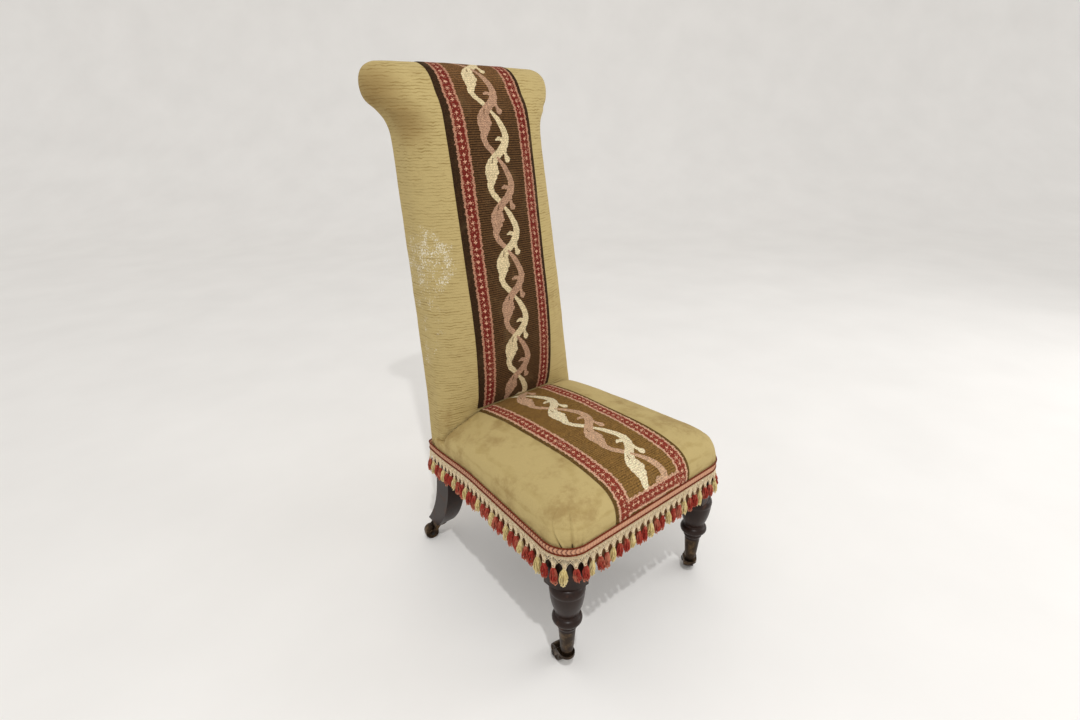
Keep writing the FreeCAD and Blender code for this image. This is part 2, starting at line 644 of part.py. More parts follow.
SLOPE_LONG = "((dim.post_top - dim.low_rail_low) / cos(atan(dim.back_rake)))"
back_straps = []
for number, share in enumerate((0.1, 0.32, 0.54, 0.76)):
    high = f"(dim.low_rail_low + {share} * {SLOPE_LONG})"
    across = f"2 * ({post_inner(high)} + dim.post_wide_top * 0.6)"
    back_straps.append(raked_box(
        f"back_cross_strap_{number}", (across, "dim.web_thick", "dim.web_wide"),
        f"{share} * {SLOPE_LONG}", "dim.web_thick"))
back_straps.append(raked_box(
    "back_long_strap", ("dim.web_wide * 1.6", "dim.web_thick", f"{SLOPE_LONG} + dim.web_wide / 2"),
    "0", "dim.web_thick"))
strap_lattice("back_webbing", back_straps, [])
CANVAS_FORWARD = "dim.web_thick + dim.cloth_thick"
canvas_wide = f"2 * ({post_inner('dim.post_top')} + dim.post_wide_top * 0.8)"
finish_part(raked_box(
    "back_canvas_sheet", (canvas_wide, "dim.cloth_thick", SLOPE_LONG),
    "0", CANVAS_FORWARD), "back_canvas", y=raked_y("0", CANVAS_FORWARD))


# Back pad: D-shaped sections up the rake, then round the crest in a fan, widening into the ears.
def upright_front(z):
    return d.knee_front + d.knee_deep - d.post_deep + d.back_rake * (z - d.step_high)


def upright_outer(z):
    return d.frame_half - d.post_inset - d.post_lean * z


def section(origin, forward, half, shoulder, crown, drop, side, back):
    """A D-section: origin on the rear line, forward the way the pad faces. crown is the height over the
    origin, drop the fall at the shoulders, side the height of the straight sides, back their run behind."""
    across = V(1, 0, 0)

    def at(x, out):
        return origin + across * x + forward * out

    flank = crown - drop
    span = shoulder
    radius = (span ** 2 + drop ** 2) / (2 * drop)
    slope = math.asin(span / radius)
    tangent = (math.cos(slope), -math.sin(slope))
    normal = (-math.sin(slope), -math.cos(slope))
    run = (half - span, side - flank)
    bend = (run[0] ** 2 + run[1] ** 2) / (2 * (run[0] * normal[0] + run[1] * normal[1]))
    centre = (span + normal[0] * bend, flank + normal[1] * bend)
    middle = (span + half - 2 * centre[0], flank + side - 2 * centre[1])
    reach = bend / math.hypot(*middle)
    knuckle = (centre[0] + middle[0] * reach, centre[1] + middle[1] * reach)
    corners = [at(half, -back), at(half, side), at(span, flank),
               at(-span, flank), at(-half, side), at(-half, -back)]
    return Part.Wire([
        Part.LineSegment(corners[0], corners[1]).toShape(),
        Part.Arc(corners[1], at(*knuckle), corners[2]).toShape(),
        Part.Arc(corners[2], at(0, crown), corners[3]).toShape(),
        Part.Arc(corners[3], at(-knuckle[0], knuckle[1]), corners[4]).toShape(),
        Part.LineSegment(corners[4], corners[5]).toShape(),
        Part.LineSegment(corners[5], corners[0]).toShape(),
    ])


# Flat sections: share of the way up the posts, and there shares of the pad's depth in front of the canvas, at
# the middle and at the sides.
PAD_STEPS = ((0, 0.303, 1.14), (0.025, 0.333, 1.14), (0.081, 0.576, 1.29), (0.183, 0.803, 1), (0.323, 0.985, 1),
             (0.4815, 1, 1), (0.692, 1, 1), (0.903, 1.015, 1.43))
# Flaring sections: share of the way from the posts' top to the scroll's axis, share of the way from upright to
# ear, and how far the front lies before the scroll's axis as a share of the scroll's front.
EAR_STEPS = ((-0.377, 0.10, 1.485), (0.189, 0.34, 1.368), (0.623, 0.68, 1.22))
FAN_ANGLES = (180, 150, 120, 90, 60, 30, 0, -30)
canvas_gap = d.web_thick + d.cloth_thick + 2 * d.soft_gap
ear_pad_half = upright_outer(d.post_top) + d.ear_reach + d.ear_pad
ear_shoulder = ear_pad_half - d.ear_shoulder_in


def fan_depth(angle):
    """Distance of the scroll's surface from its axis, less and less from the front over the top."""
    if angle >= 90:
        return d.scroll_top + (d.scroll_front - d.scroll_top) * ((angle - 90) / 90) ** 2
    return d.scroll_back + (d.scroll_top - d.scroll_back) * max(angle, 0) / 90


def back_form(low, skin, wrap=None):
    """The pad's solid grown by a skin. With a wrap it runs back round the uprights, past them by that much."""
    forward = V(0, -1, 0)
    back = 0 if wrap is None else canvas_gap + d.post_deep + wrap
    side_pad = d.pad_edge + skin
    wires = []

    def flat(z, front, side, half, shoulder, drop):
        rear = upright_front(z) - canvas_gap
        wires.append(section(V(0, rear, z), forward, half, shoulder, rear - front + skin, drop, side, back))

    if low < d.pad_low:
        _, deep_share, side_share = PAD_STEPS[0]
        tuck = upright_front(d.pad_low) - canvas_gap - deep_share * d.pad_deep
        half = upright_outer(low) + side_pad
        flat(low, tuck, side_share * d.pad_side, half, d.band_half, d.tuck_drop)
    for rise, deep_share, side_share in PAD_STEPS:
        z = d.pad_low + rise * (d.post_top - d.pad_low)
        deep = deep_share * d.pad_deep
        drop = min(d.pad_drop, deep / 6)
        front = upright_front(z) - canvas_gap - deep
        flat(z, front, side_share * d.pad_side, upright_outer(z) + side_pad, d.band_half, drop)
    for rise, share, reach in EAR_STEPS:
        z = d.post_top + rise * (d.scroll_z - d.post_top)
        half = upright_outer(z) + side_pad + share * (ear_pad_half - upright_outer(z) - d.pad_edge)
        shoulder = d.band_half + share * (ear_shoulder - d.band_half)
        front = d.scroll_y - reach * d.scroll_front
        flat(z, front, d.pad_side + share * d.ear_side, half, shoulder, d.pad_drop)
    inner = d.crest_round + d.pad_edge if wrap is None else 2 - wrap
    for angle in FAN_ANGLES:
        turn = math.radians(angle)
        out = V(0, math.cos(turn), math.sin(turn))
        origin = V(0, d.scroll_y, d.scroll_z) + out * inner
        crown = fan_depth(angle) - inner + skin
        side = d.crest_round + d.fan_side - inner
        wires.append(section(origin, out, ear_pad_half + skin, ear_shoulder, crown, d.fan_drop, side, 0))
    return Part.makeLoft(wires, True, True)


solid_part("back_stuffing", back_form(d.pad_low, 0))

tuck_low = d.step_low + 2
back_skin = back_form(tuck_low, skin_out, wrap=0).cut(back_form(tuck_low - 1, skin_in, wrap=1))
for label, piece in zip(("left", "band", "right"), strips(back_skin, 2 * d.frame_half)):
    solid_part(f"back_cover_{label}", piece.Solids[0])


# Outside back: a cloth panel behind the uprights and the crest rail.
def panel_section(z):
    rear = d.knee_front + d.knee_deep + d.back_rake * max(z - d.step_high, 0) + d.soft_gap
    if z > d.post_top:
        share = (z - d.post_top) / (d.scroll_z - d.post_top)
        crest_rear = d.scroll_y + d.crest_round - d.soft_gap
        rear += share * (crest_rear - upright_front(d.scroll_z) - d.post_deep) + d.soft_gap
    half = upright_outer(z) + d.pad_edge + skin_out
    far = rear + d.cover_thick
    corners = [V(-half, rear, z), V(half, rear, z), V(half, far, z), V(-half, far, z)]
    return Part.makePolygon(corners + corners[:1])


panel_heights = (d.cover_low, d.step_high, d.post_top, d.panel_top)
solid_part("outside_back_cover", Part.makeLoft([panel_section(z) for z in panel_heights], True, True))


# Trim: braid with two cords, a knotted net and tassels, in one run round the seat.
def trim_plan(z, grow):
    """Closed run round the seat frame at a distance from it."""
    half = d.frame_half + grow
    front = -d.front_reach - grow
    rear = d.knee_front + d.knee_deep + grow
    wide, tight = d.frame_corner + grow, max(d.rear_corner - skin_out - d.soft_gap + grow, 1)
    bow = 1 - math.sqrt(0.5)

    def edge(y):
        return half - d.frame_taper * y

    rear_x = edge(rear - tight)
    front_x = edge(front + wide)
    run = [V(0, front, z), V(front_x - wide, front, z), V(front_x - wide * bow, front + wide * bow, z),
           V(front_x, front + wide, z), V(rear_x, rear - tight, z),
           V(rear_x - tight * bow, rear - tight * bow, z), V(rear_x - tight, rear, z), V(0, rear, z)]
    mirrored = [V(-p.x, p.y, z) for p in run]
    edges = []
    for side in (run, mirrored):
        edges += [Part.LineSegment(side[0], side[1]).toShape(), Part.Arc(side[1], side[2], side[3]).toShape(),
                  Part.LineSegment(side[3], side[4]).toShape(), Part.Arc(side[4], side[5], side[6]).toShape(),
                  Part.LineSegment(side[6], side[7]).toShape()]
    return Part.Wire(Part.__sortEdges__(edges))


def trim_ring(low, high, grow, thick):
    """A flat ring that stands on edge round the seat."""
    outer = Part.Face(trim_plan(low, grow + thick))
    inner = Part.Face(trim_plan(low, grow))
    return outer.cut(inner).extrude(V(0, 0, high - low))


on_cover = skin_out + d.soft_gap
gimp_low = d.gimp_top - d.gimp_high
solid_part("gimp_braid", trim_ring(gimp_low, d.gimp_top, on_cover, d.gimp_thick))
on_gimp = on_cover + d.gimp_thick + d.soft_gap
cord_lows = (gimp_low, d.gimp_top - d.cord_thick)
cords = [trim_ring(low, low + d.cord_thick, on_gimp, d.cord_thick) for low in cord_lows]
solid_part("gimp_cords", Part.makeCompound([ring.Solids[0] for ring in cords]))
net_top = gimp_low - d.soft_gap
net_low = net_top - d.net_high
solid_part("fringe_net", trim_ring(net_low, net_top, on_cover, d.net_thick))

# Outline of a tassel from its head down: share of its length and radius.
tassel_top = net_low - d.soft_gap
TASSEL_STEPS = ((0, d.tassel_head), (0.75, d.tassel_skirt), (1, d.tassel_skirt * 0.85))


def tassel(place):
    """A six-sided tassel of flat faces, hanging from a point of the net's lower edge."""
    rings = []
    turns = [k * math.pi / 3 for k in range(7)]
    for share, radius in TASSEL_STEPS:
        centre = V(place.x, place.y, tassel_top - share * d.tassel_long)
        rings.append([centre + V(math.cos(turn), math.sin(turn), 0) * radius for turn in turns])
    faces = [Part.Face(Part.makePolygon(ring)) for ring in (rings[0], rings[-1])]
    for upper, lower in zip(rings, rings[1:]):
        for k in range(6):
            corners = [upper[k], upper[k + 1], lower[k + 1], lower[k], upper[k]]
            faces.append(Part.Face(Part.makePolygon(corners)))
    return Part.Solid(Part.Shell(faces))


tassel_run = trim_plan(0, on_cover + d.tassel_off)
tassel_count = 3 * int(tassel_run.Length / d.tassel_pitch / 3)
hung = [tassel(place) for place in tassel_run.discretize(Number=tassel_count + 1)[:-1]]
solid_part("red_tassels", Part.makeCompound([t for number, t in enumerate(hung) if number % 3]))
solid_part("cream_tassels", Part.makeCompound(hung[::3]))


# Castors: a fixed plate or cup with a riveted pivot pin, a horn that swivels on it, and a wheel on an axle.
HORN_HALF = "(dim.wheel_wide / 2 + dim.side_gap + dim.cheek_thick)"


def turned_body(name, role, corners):
    body = new_body(name)
    sketch = new_sketch(body, role, name + "_profile")
    draw_outline(sketch, corners)
    add_turning(body, sketch)
    return body


def pivot_outline(top):
    """Half outline of the riveted pivot pin, up to the fixed piece that carries it."""
    under = "dim.horn_low - dim.plate_gap"
    return [("0", f"{under} - dim.rivet_high"), ("dim.rivet_radius", f"{under} - dim.rivet_high"),
            ("dim.rivet_radius", under), ("dim.pin_radius", under), ("dim.pin_radius", top)]


def fixed_outline(front):
    base = "dim.horn_top + dim.plate_gap"
    if front:
        return pivot_outline(base) + [
            ("dim.boss_radius", base), ("dim.boss_radius", "dim.cup_floor"),
            ("dim.spigot_radius + dim.cup_wall", "dim.cup_floor"), ("dim.neck_radius", "dim.cup_top"),
            ("dim.spigot_top_radius + dim.run_gap", "dim.cup_top"),
            ("dim.spigot_radius + dim.run_gap", "dim.spigot_low"), ("0", "dim.spigot_low")]
    return pivot_outline(base) + [
        ("dim.plate_radius", base), ("dim.plate_radius", "dim.foot_low"), ("dim.stem_radius", "dim.foot_low"),
        ("dim.stem_radius", "dim.foot_low + dim.stem_long"), ("0", "dim.foot_low + dim.stem_long")]


def wheel_outline():
    bore, rim = "dim.axle_radius + dim.run_gap", "dim.wheel_radius - dim.tread_drop"
    face = "dim.wheel_wide / 2"
    round_tread = "((dim.wheel_wide / 2) ^ 2 + dim.tread_drop ^ 2) / (2 * dim.tread_drop)"
    hub, dish = "dim.axle_radius * 2.2", "dim.wheel_radius * 0.72"
    return [(bore, f"-{face}"), (hub, f"-{face}"), (f"{hub} + dim.wheel_dish", f"dim.wheel_dish - {face}"),
            (dish, f"dim.wheel_dish - {face}"), (f"{dish} + dim.wheel_dish", f"-{face}"),
            (rim, f"-{face}", round_tread, 1), (rim, face), (f"{dish} + dim.wheel_dish", face),
            (dish, f"{face} - dim.wheel_dish"),
            (f"{hub} + dim.wheel_dish", f"{face} - dim.wheel_dish"), (hub, face), (bore, face)]


def axle_outline():
    shoulder = f"({HORN_HALF} + dim.run_gap)"
    head, end = "dim.axle_radius * 1.5", f"({HORN_HALF} + dim.axle_radius / 2)"
    return [("0", f"-{end}"), (head, f"-{end}"), (head, f"-{shoulder}"), ("dim.axle_radius", f"-{shoulder}"),
            ("dim.axle_radius", shoulder), (head, shoulder), (head, end), ("0", end)]


def horn_shape(name):
    """Fork seen from the side and from above, less the wheel's room, the axle holes and the pivot hole."""
    eye = "dim.eye_radius"
    side_view = prism_body(name + "_side", "XZ_Plane", [
        (f"-{HORN_HALF}", "dim.horn_low"), ("dim.rivet_radius", "dim.horn_low"),
        (f"dim.trail - {eye}", "dim.wheel_radius", f"{eye} * 1.0001", 1),
        (f"dim.trail + {eye}", "dim.wheel_radius"),
        (f"{HORN_HALF} * 0.9", "dim.horn_top"), (f"-{HORN_HALF}", "dim.horn_top"),
    ], f"3 * {HORN_HALF}", midplane=True)
    top_view = prism_body(name + "_top", "XY_Plane", [
        ("0", HORN_HALF, f"{HORN_HALF} * 1.0001", 1), ("0", f"-{HORN_HALF}"),
        (f"dim.trail + {eye}", f"-{HORN_HALF}"), (f"dim.trail + {eye}", HORN_HALF),
    ], "2 * dim.horn_top")
    room = "(dim.wheel_wide / 2 + dim.side_gap)"
    hole = "dim.axle_radius + dim.run_gap"
    past = f"2 * {HORN_HALF}"
    slot = turned_body(name + "_slot", "XY_Plane", [
        ("0", f"-{past}"), (hole, f"-{past}"), (hole, f"-{room}"),
        ("dim.wheel_radius + dim.wheel_room", f"-{room}"), ("dim.wheel_radius + dim.wheel_room", room),
        (hole, room), (hole, past), ("0", past)])
    slot.setExpression("Placement.Base.x", "dim.trail")
    slot.setExpression("Placement.Base.z", "dim.wheel_radius")
    pin_hole = "dim.pin_radius + dim.run_gap"
    pivot = cylinder(name + "_pivot_hole", pin_hole, "2 * dim.horn_top", ("0", "0", "0"))
    return cut(name, common(name, side_view, top_view), slot, pivot)


def place_castor(obj, label, x, y, heading, out, high):
    """Turns a castor piece to its heading and puts it on its pivot, or out along the trail."""
    obj.setExpression("Placement.Base.x", f"{x} + {out} * cos({heading})")
    obj.setExpression("Placement.Base.z", high)
    obj.setExpression("Placement.Rotation.Angle", heading)
    finish_part(obj, label, y=f"{y} + {out} * sin({heading})")


for end in ("front", "rear"):
    for side, sign in SIDES:
        name = f"{end}_{side}_castor"
        x, y = (f"{sign} * {LEG_X}", "0") if end == "front" else (f"{sign} * {FOOT_X}", FOOT_Y)
        heading = f"dim.heading_{end}_{side} * 1 deg"
        fixed = "cup" if end == "front" else "plate"
        fixed_body = turned_body(f"{name}_{fixed}_turned", "XZ_Plane", fixed_outline(end == "front"))
        place_castor(fixed_body, f"{name}_{fixed}", x, y, heading, "0", "0")
        place_castor(horn_shape(name + "_horn"), f"{name}_horn", x, y, heading, "0", "0")
        for piece, outline in (("wheel", wheel_outline()), ("axle", axle_outline())):
            body = turned_body(f"{name}_{piece}_turned", "XY_Plane", outline)
            place_castor(body, f"{name}_{piece}", x, y, heading, "dim.trail", "dim.wheel_radius")


# Export
doc.recompute()
for obj in doc.Objects:
    if "Invalid" in obj.State or "Error" in obj.State:
        raise RuntimeError(f"{obj.Name} did not compute")
os.makedirs("parts", exist_ok=True)
for obj in finished:
    if obj.Shape.isNull() or not obj.Shape.isValid() or not obj.Shape.Solids:
        raise RuntimeError(f"{obj.Label} is not a valid solid")
    obj.Shape.exportStep(f"parts/{obj.Label}.step")
print("sub-parts", len(finished), "tassels", tassel_count)
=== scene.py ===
import bmesh
import bpy
import math
import numpy as np
import random
from mathutils import Matrix, Vector, noise
from mathutils.bvhtree import BVHTree


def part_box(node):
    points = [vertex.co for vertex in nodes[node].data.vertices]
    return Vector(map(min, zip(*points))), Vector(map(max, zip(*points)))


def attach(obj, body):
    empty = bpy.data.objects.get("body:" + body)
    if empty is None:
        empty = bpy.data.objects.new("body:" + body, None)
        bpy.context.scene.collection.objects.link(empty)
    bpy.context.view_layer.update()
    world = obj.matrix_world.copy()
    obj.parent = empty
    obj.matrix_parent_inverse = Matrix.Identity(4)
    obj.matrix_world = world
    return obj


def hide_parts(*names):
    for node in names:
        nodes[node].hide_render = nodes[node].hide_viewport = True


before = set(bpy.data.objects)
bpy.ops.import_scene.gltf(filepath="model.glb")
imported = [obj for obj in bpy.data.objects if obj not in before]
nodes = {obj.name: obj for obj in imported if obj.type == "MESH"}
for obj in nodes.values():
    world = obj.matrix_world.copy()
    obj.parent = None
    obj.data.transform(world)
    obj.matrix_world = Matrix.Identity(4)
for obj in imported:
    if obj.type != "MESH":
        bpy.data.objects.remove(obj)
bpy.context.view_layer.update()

# Camera, pale floor and soft light. The camera stands before the left front corner, above the middle of the
# back, and looks down. The floor is a sheet of paper that bends up behind. Lengths are metres.
FOCAL_PIXELS = 560.9
IMAGE_WIDTH = 1080
CAMERA_HEADING = math.radians(39.44)
CAMERA_DOWN = math.radians(22.644)
CAMERA_ROLL = math.radians(-0.867)
CAMERA_BENCH = Vector((-0.6657, -0.5301, 0.8983))
FLOOR_HALF, WALL_HIGH, WALL_BEND = 6, 6, 2.5

cup_low, cup_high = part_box("front_left_castor_cup")
LEG_Y = (cup_low.y + cup_high.y) / 2


def bench(x, y, z):
    """A point given in millimetres from the line of the front legs, in the shared frame's metres."""
    return Vector((x / 1000, y / 1000 + LEG_Y, z / 1000))


heading_x, heading_y = math.sin(CAMERA_HEADING), math.cos(CAMERA_HEADING)
ahead = math.cos(CAMERA_DOWN)
look = Vector((heading_x * ahead, heading_y * ahead, -math.sin(CAMERA_DOWN)))
level = Vector((heading_y, -heading_x, 0))
upright = level.cross(look)
right = level * math.cos(CAMERA_ROLL) + upright * math.sin(CAMERA_ROLL)
up = upright * math.cos(CAMERA_ROLL) - level * math.sin(CAMERA_ROLL)
camera_data = bpy.data.cameras.new("photo_camera")
camera_data.sensor_width = 36
camera_data.lens = FOCAL_PIXELS * camera_data.sensor_width / IMAGE_WIDTH
camera = bpy.data.objects.new("photo_camera", camera_data)
turned = Matrix((right, up, -look)).transposed().to_4x4()
camera.matrix_world = Matrix.Translation(CAMERA_BENCH + Vector((0, LEG_Y, 0))) @ turned
bpy.context.collection.objects.link(camera)
scene = bpy.context.scene
scene.camera = camera
scene.view_settings.view_transform = "Standard"


def paint(red, green, blue):
    """A colour as read on a screen, turned into light for a shader."""
    def light(value):
        share = value / 255
        return share / 12.92 if share <= 0.04045 else ((share + 0.055) / 1.055) ** 2.4
    return (light(red), light(green), light(blue), 1)


def add_node(tree, kind, inputs=None, **settings):
    """A shader node with its settings, and its inputs set to values or joined to other sockets."""
    made = tree.nodes.new(kind)
    for name, value in settings.items():
        setattr(made, name, value)
    for name, value in (inputs or {}).items():
        if isinstance(value, bpy.types.NodeSocket):
            tree.links.new(value, made.inputs[name])
        else:
            made.inputs[name].default_value = value
    return made


def vector_maths(tree, operation, first, second):
    """One step of arithmetic on vectors or sockets, as a socket."""
    made = add_node(tree, "ShaderNodeVectorMath", {0: first, 1: second}, operation=operation)
    return made.outputs["Vector"]


def clouds(tree, scale, detail, rough=0.5, stretch=None):
    """Noise on the piece's own coordinates, which may be stretched first, as a socket."""
    where = add_node(tree, "ShaderNodeTexCoord").outputs["Object"]
    if stretch is not None:
        where = vector_maths(tree, "MULTIPLY", where, stretch)
    made = add_node(tree, "ShaderNodeTexNoise", {
        "Vector": where, "Scale": scale, "Detail": detail, "Roughness": rough})
    return made.outputs["Fac"]


def blend_colours(tree, mask, first, second):
    """First colour where the mask is 0, second where it is 1; either may be a socket."""
    made = add_node(tree, "ShaderNodeMix", {"Factor": mask, "A": first, "B": second}, data_type="RGBA")
    return made.outputs["Result"]


def start_material(name, rough):
    """A material with its node tree and shader."""
    made = bpy.data.materials.new(name)
    made.use_nodes = True
    shader = made.node_tree.nodes["Principled BSDF"]
    shader.inputs["Roughness"].default_value = rough
    return made, made.node_tree, shader


def finished(bm, name):
    """The work of a bmesh as a new mesh."""
    mesh = bpy.data.meshes.new(name)
    bm.to_mesh(mesh)
    bm.free()
    return mesh


floor_material, tree, shader = start_material("pale_floor", 0.75)
tone = blend_colours(tree, clouds(tree, 3.0, 6.0), paint(234, 232, 229), paint(246, 244, 241))
tree.links.new(tone, shader.inputs["Base Color"])

paper = bmesh.new()
bmesh.ops.create_grid(paper, x_segments=1, y_segments=1, size=FLOOR_HALF)
rear_edge = [e for e in paper.edges if all(v.co.y > FLOOR_HALF - 1 for v in e.verts)]
raised = bmesh.ops.extrude_edge_only(paper, edges=rear_edge)["geom"]
wall_top = [v for v in raised if isinstance(v, bmesh.types.BMVert)]
bmesh.ops.translate(paper, vec=(0, 0, WALL_HIGH), verts=wall_top)
bend = [e for e in paper.edges if all(v.co.y > FLOOR_HALF - 1 and v.co.z < 1 for v in e.verts)]
bmesh.ops.bevel(paper, geom=bend, offset=WALL_BEND, segments=16, profile=0.5, affect="EDGES", material=-1)
facing = Matrix.Rotation(-CAMERA_HEADING, 3, "Z")
bmesh.ops.rotate(paper, cent=(0, 0, 0), matrix=facing, verts=paper.verts)
floor_mesh = finished(paper, "floor")
floor_mesh.materials.append(floor_material)
floor_mesh.shade_smooth()
floor = bpy.data.objects.new("floor", floor_mesh)
bpy.context.collection.objects.link(floor)

world = bpy.data.worlds.new("studio")
world.use_nodes = True
world.node_tree.nodes["Background"].inputs["Color"].default_value = (1, 0.985, 0.965, 1)
world.node_tree.nodes["Background"].inputs["Strength"].default_value = 0.8
scene.world = world


def soft_box(name, place, power, size, aim=(0, 0, 0.5)):
    """A square lamp that looks at the chair."""
    lamp = bpy.data.lights.new(name, "AREA")
    lamp.energy = power
    lamp.size = size
    made = bpy.data.objects.new(name, lamp)
    made.location = place
    made.rotation_euler = (Vector(aim) - Vector(place)).to_track_quat("-Z", "Y").to_euler()
    bpy.context.collection.objects.link(made)


# The key lamp hangs high before the left front corner and throws the fringe's shadow on the floor.
soft_box("key_lamp", bench(-850, -1050, 2600), power=22, size=0.06)
soft_box("window", (2.4, -1.7, 1.5), power=20, size=1.6)

# Wooden frame: turned front legs and sabre rear posts, stained nearly black, polished, now dull and rubbed.
# Bare beech rails under the upholstery are tenoned into them. The pieces keep the joiner's solids.
SIDES = ("left", "right")
ENDS = ("front", "rear")


def new_group(name, inputs, output):
    """An empty shader group: its tree, its number inputs as sockets to read, and its one number output."""
    group = bpy.data.node_groups.new(name, "ShaderNodeTree")
    for label, value in inputs.items():
        socket = group.interface.new_socket(name=label, in_out="INPUT", socket_type="NodeSocketFloat")
        socket.default_value = value
    group.interface.new_socket(name=output, in_out="OUTPUT", socket_type="NodeSocketFloat")
    fed = group.nodes.new("NodeGroupInput").outputs
    return group, fed, group.nodes.new("NodeGroupOutput").inputs[output]


def ranged(tree, value, low=0.0, high=1.0, to_low=0.0, to_high=1.0, ease="LINEAR"):
    """A value taken from one range to another and held at its ends, as a socket."""
    made = add_node(tree, "ShaderNodeMapRange", {
        "Value": value, "From Min": low, "From Max": high, "To Min": to_low, "To Max": to_high},
        interpolation_type=ease)
    return made.outputs["Result"]


# Blotches: soft patches of an uneven surface, cut between two levels.
blotches, fed, mask = new_group(
    "blotches", {"Scale": 20, "Low": 0.45, "High": 0.6, "Roughness": 0.6}, "Mask")
cloud = clouds(blotches, fed["Scale"], 5.0, fed["Roughness"])
blotches.links.new(ranged(blotches, cloud, fed["Low"], fed["High"], ease="SMOOTHSTEP"), mask)

# Grain: long fine lines along the upright of a piece.
grain, fed, lines = new_group("grain", {"Fineness": 300, "Length": 9}, "Lines")
along_upright = add_node(grain, "ShaderNodeCombineXYZ", {
    "X": fed["Fineness"], "Y": fed["Fineness"], "Z": fed["Length"]})
grain.links.new(clouds(grain, 1.0, 4.0, 0.65, along_upright.outputs["Vector"]), lines)


def patches(tree, scale, low, high, rough=0.6):
    """The mask of the blotches group with its own values."""
    values = {"Scale": scale, "Low": low, "High": high, "Roughness": rough}
    return add_node(tree, "ShaderNodeGroup", values, node_tree=blotches).outputs["Mask"]


def add_bump(tree, shader, height, strength, distance):
    """Raises a height on the surface."""
    made = add_node(tree, "ShaderNodeBump", {"Height": height, "Strength": strength, "Distance": distance})
    tree.links.new(made.outputs["Normal"], shader.inputs["Normal"])


def timber(name, dark, light, worn, rough, coat):
    """Stained or bare wood with its grain and rubbed patches."""
    made, tree, shader = start_material(name, rough)
    values = {"Fineness": 260, "Length": 12}
    fibres = add_node(tree, "ShaderNodeGroup", values, node_tree=grain).outputs["Lines"]
    rubbed = patches(tree, 38, 0.56, 0.72)
    wood = blend_colours(tree, fibres, dark, light)
    tree.links.new(blend_colours(tree, rubbed, wood, worn), shader.inputs["Base Color"])
    dull = ranged(tree, rubbed, to_low=rough, to_high=min(rough + 0.2, 1))
    tree.links.new(dull, shader.inputs["Roughness"])
    shader.inputs["Coat Weight"].default_value = coat
    shader.inputs["Coat Roughness"].default_value = 0.22
    shader.inputs["Specular IOR Level"].default_value = 0.2
    add_bump(tree, shader, fibres, 0.25, 0.0006)
    return made


def dress(node_names, material):
    """Gives CAD pieces a finish."""
    for name in node_names:
        nodes[name].data.materials.clear()
        nodes[name].data.materials.append(material)


ebonised = timber("ebonised_wood", paint(22, 12, 8), paint(46, 27, 19), paint(72, 46, 33), 0.36, 0.08)
beech = timber("bare_beech", paint(112, 80, 50), paint(142, 106, 70), paint(92, 66, 42), 0.75, 0.0)
dress([f"front_{side}_leg" for side in SIDES] + [f"{side}_rear_post" for side in SIDES], ebonised)
dress([f"{place}_seat_rail" for place in ENDS + SIDES] + ["lower_back_rail", "crest_rail"], beech)
dress([f"{end}_{side}_corner_brace" for end in ENDS for side in SIDES], beech)

# Castors: cast brass cups, plates, horns and wheels on iron axles, dark with age and brighter where rubbed.
# Each horn turns on a riveted pin. The pieces keep the founder's solids.


def old_metal(name, dark, bright, rough):
    """Metal with a dark patina that is rubbed through in places."""
    made, tree, shader = start_material(name, rough)
    rubbed = patches(tree, 70, 0.42, 0.75)
    tree.links.new(blend_colours(tree, rubbed, dark, bright), shader.inputs["Base Color"])
    tree.links.new(ranged(tree, rubbed, to_low=rough, to_high=rough - 0.2), shader.inputs["Roughness"])
    shader.inputs["Metallic"].default_value = 0.9
    add_bump(tree, shader, clouds(tree, 420.0, 3.0), 0.2, 0.0005)
    return made


aged_brass = old_metal("aged_brass", paint(52, 40, 30), paint(100, 80, 56), 0.45)
iron = old_metal("iron_axle", paint(52, 48, 45), paint(96, 90, 84), 0.55)
for end, fixed in zip(ENDS, ("cup", "plate")):
    for side in SIDES:
        dress([f"{end}_{side}_castor_{part}" for part in (fixed, "horn", "wheel")], aged_brass)
        dress([f"{end}_{side}_castor_axle"], iron)

# Webbing, springs, canvas and dust cloth: linen straps, coppered wire and coarse sacking that carry the
# stuffing. They lie inside the chair and stay the upholsterer's solids.


def coarse_cloth(name, dark, light, threads):
    """A plain weave with both thread directions showing."""
    made, tree, shader = start_material(name, 0.9)
    place = add_node(tree, "ShaderNodeTexCoord").outputs["Object"]
    checks = add_node(tree, "ShaderNodeTexChecker", {"Vector": place, "Scale": threads}).outputs["Fac"]
    woven = blend_colours(tree, checks, dark, light)
    dirty = blend_colours(tree, patches(tree, 30, 0.4, 0.7), woven, dark)
    tree.links.new(dirty, shader.inputs["Base Color"])
    add_bump(tree, shader, checks, 0.4, 0.0006)
    return made


linen = coarse_cloth("linen_webbing", paint(150, 128, 92), paint(186, 164, 124), 300)
hessian = coarse_cloth("hessian", paint(138, 112, 74), paint(178, 150, 106), 260)
dress(["seat_webbing", "back_webbing"], linen)
dress(["spring_canvas", "back_canvas"], hessian)
dress(["base_cloth"], coarse_cloth("black_cloth", paint(26, 25, 25), paint(42, 40, 39), 500))
dress(["seat_springs"], old_metal("spring_wire", paint(84, 64, 52), paint(150, 110, 84), 0.45))

# Seat: hair stuffing under a tight cover of gold velvet, a short silk pile that is browned by use. The cover
# is flat behind, where the back stands, pleated at the front corners and tacked to the rails. From here on,
# lengths are millimetres where nothing else is said.
FRAME_HALF, FRAME_TAPER, FRAME_FRONT, FRAME_CORNER = 211, 0.0645, -28, 44
SEAT_REAR = 371.2
SHELF_REAR = 421
BAND_HALF = 98
COVER = 2.3
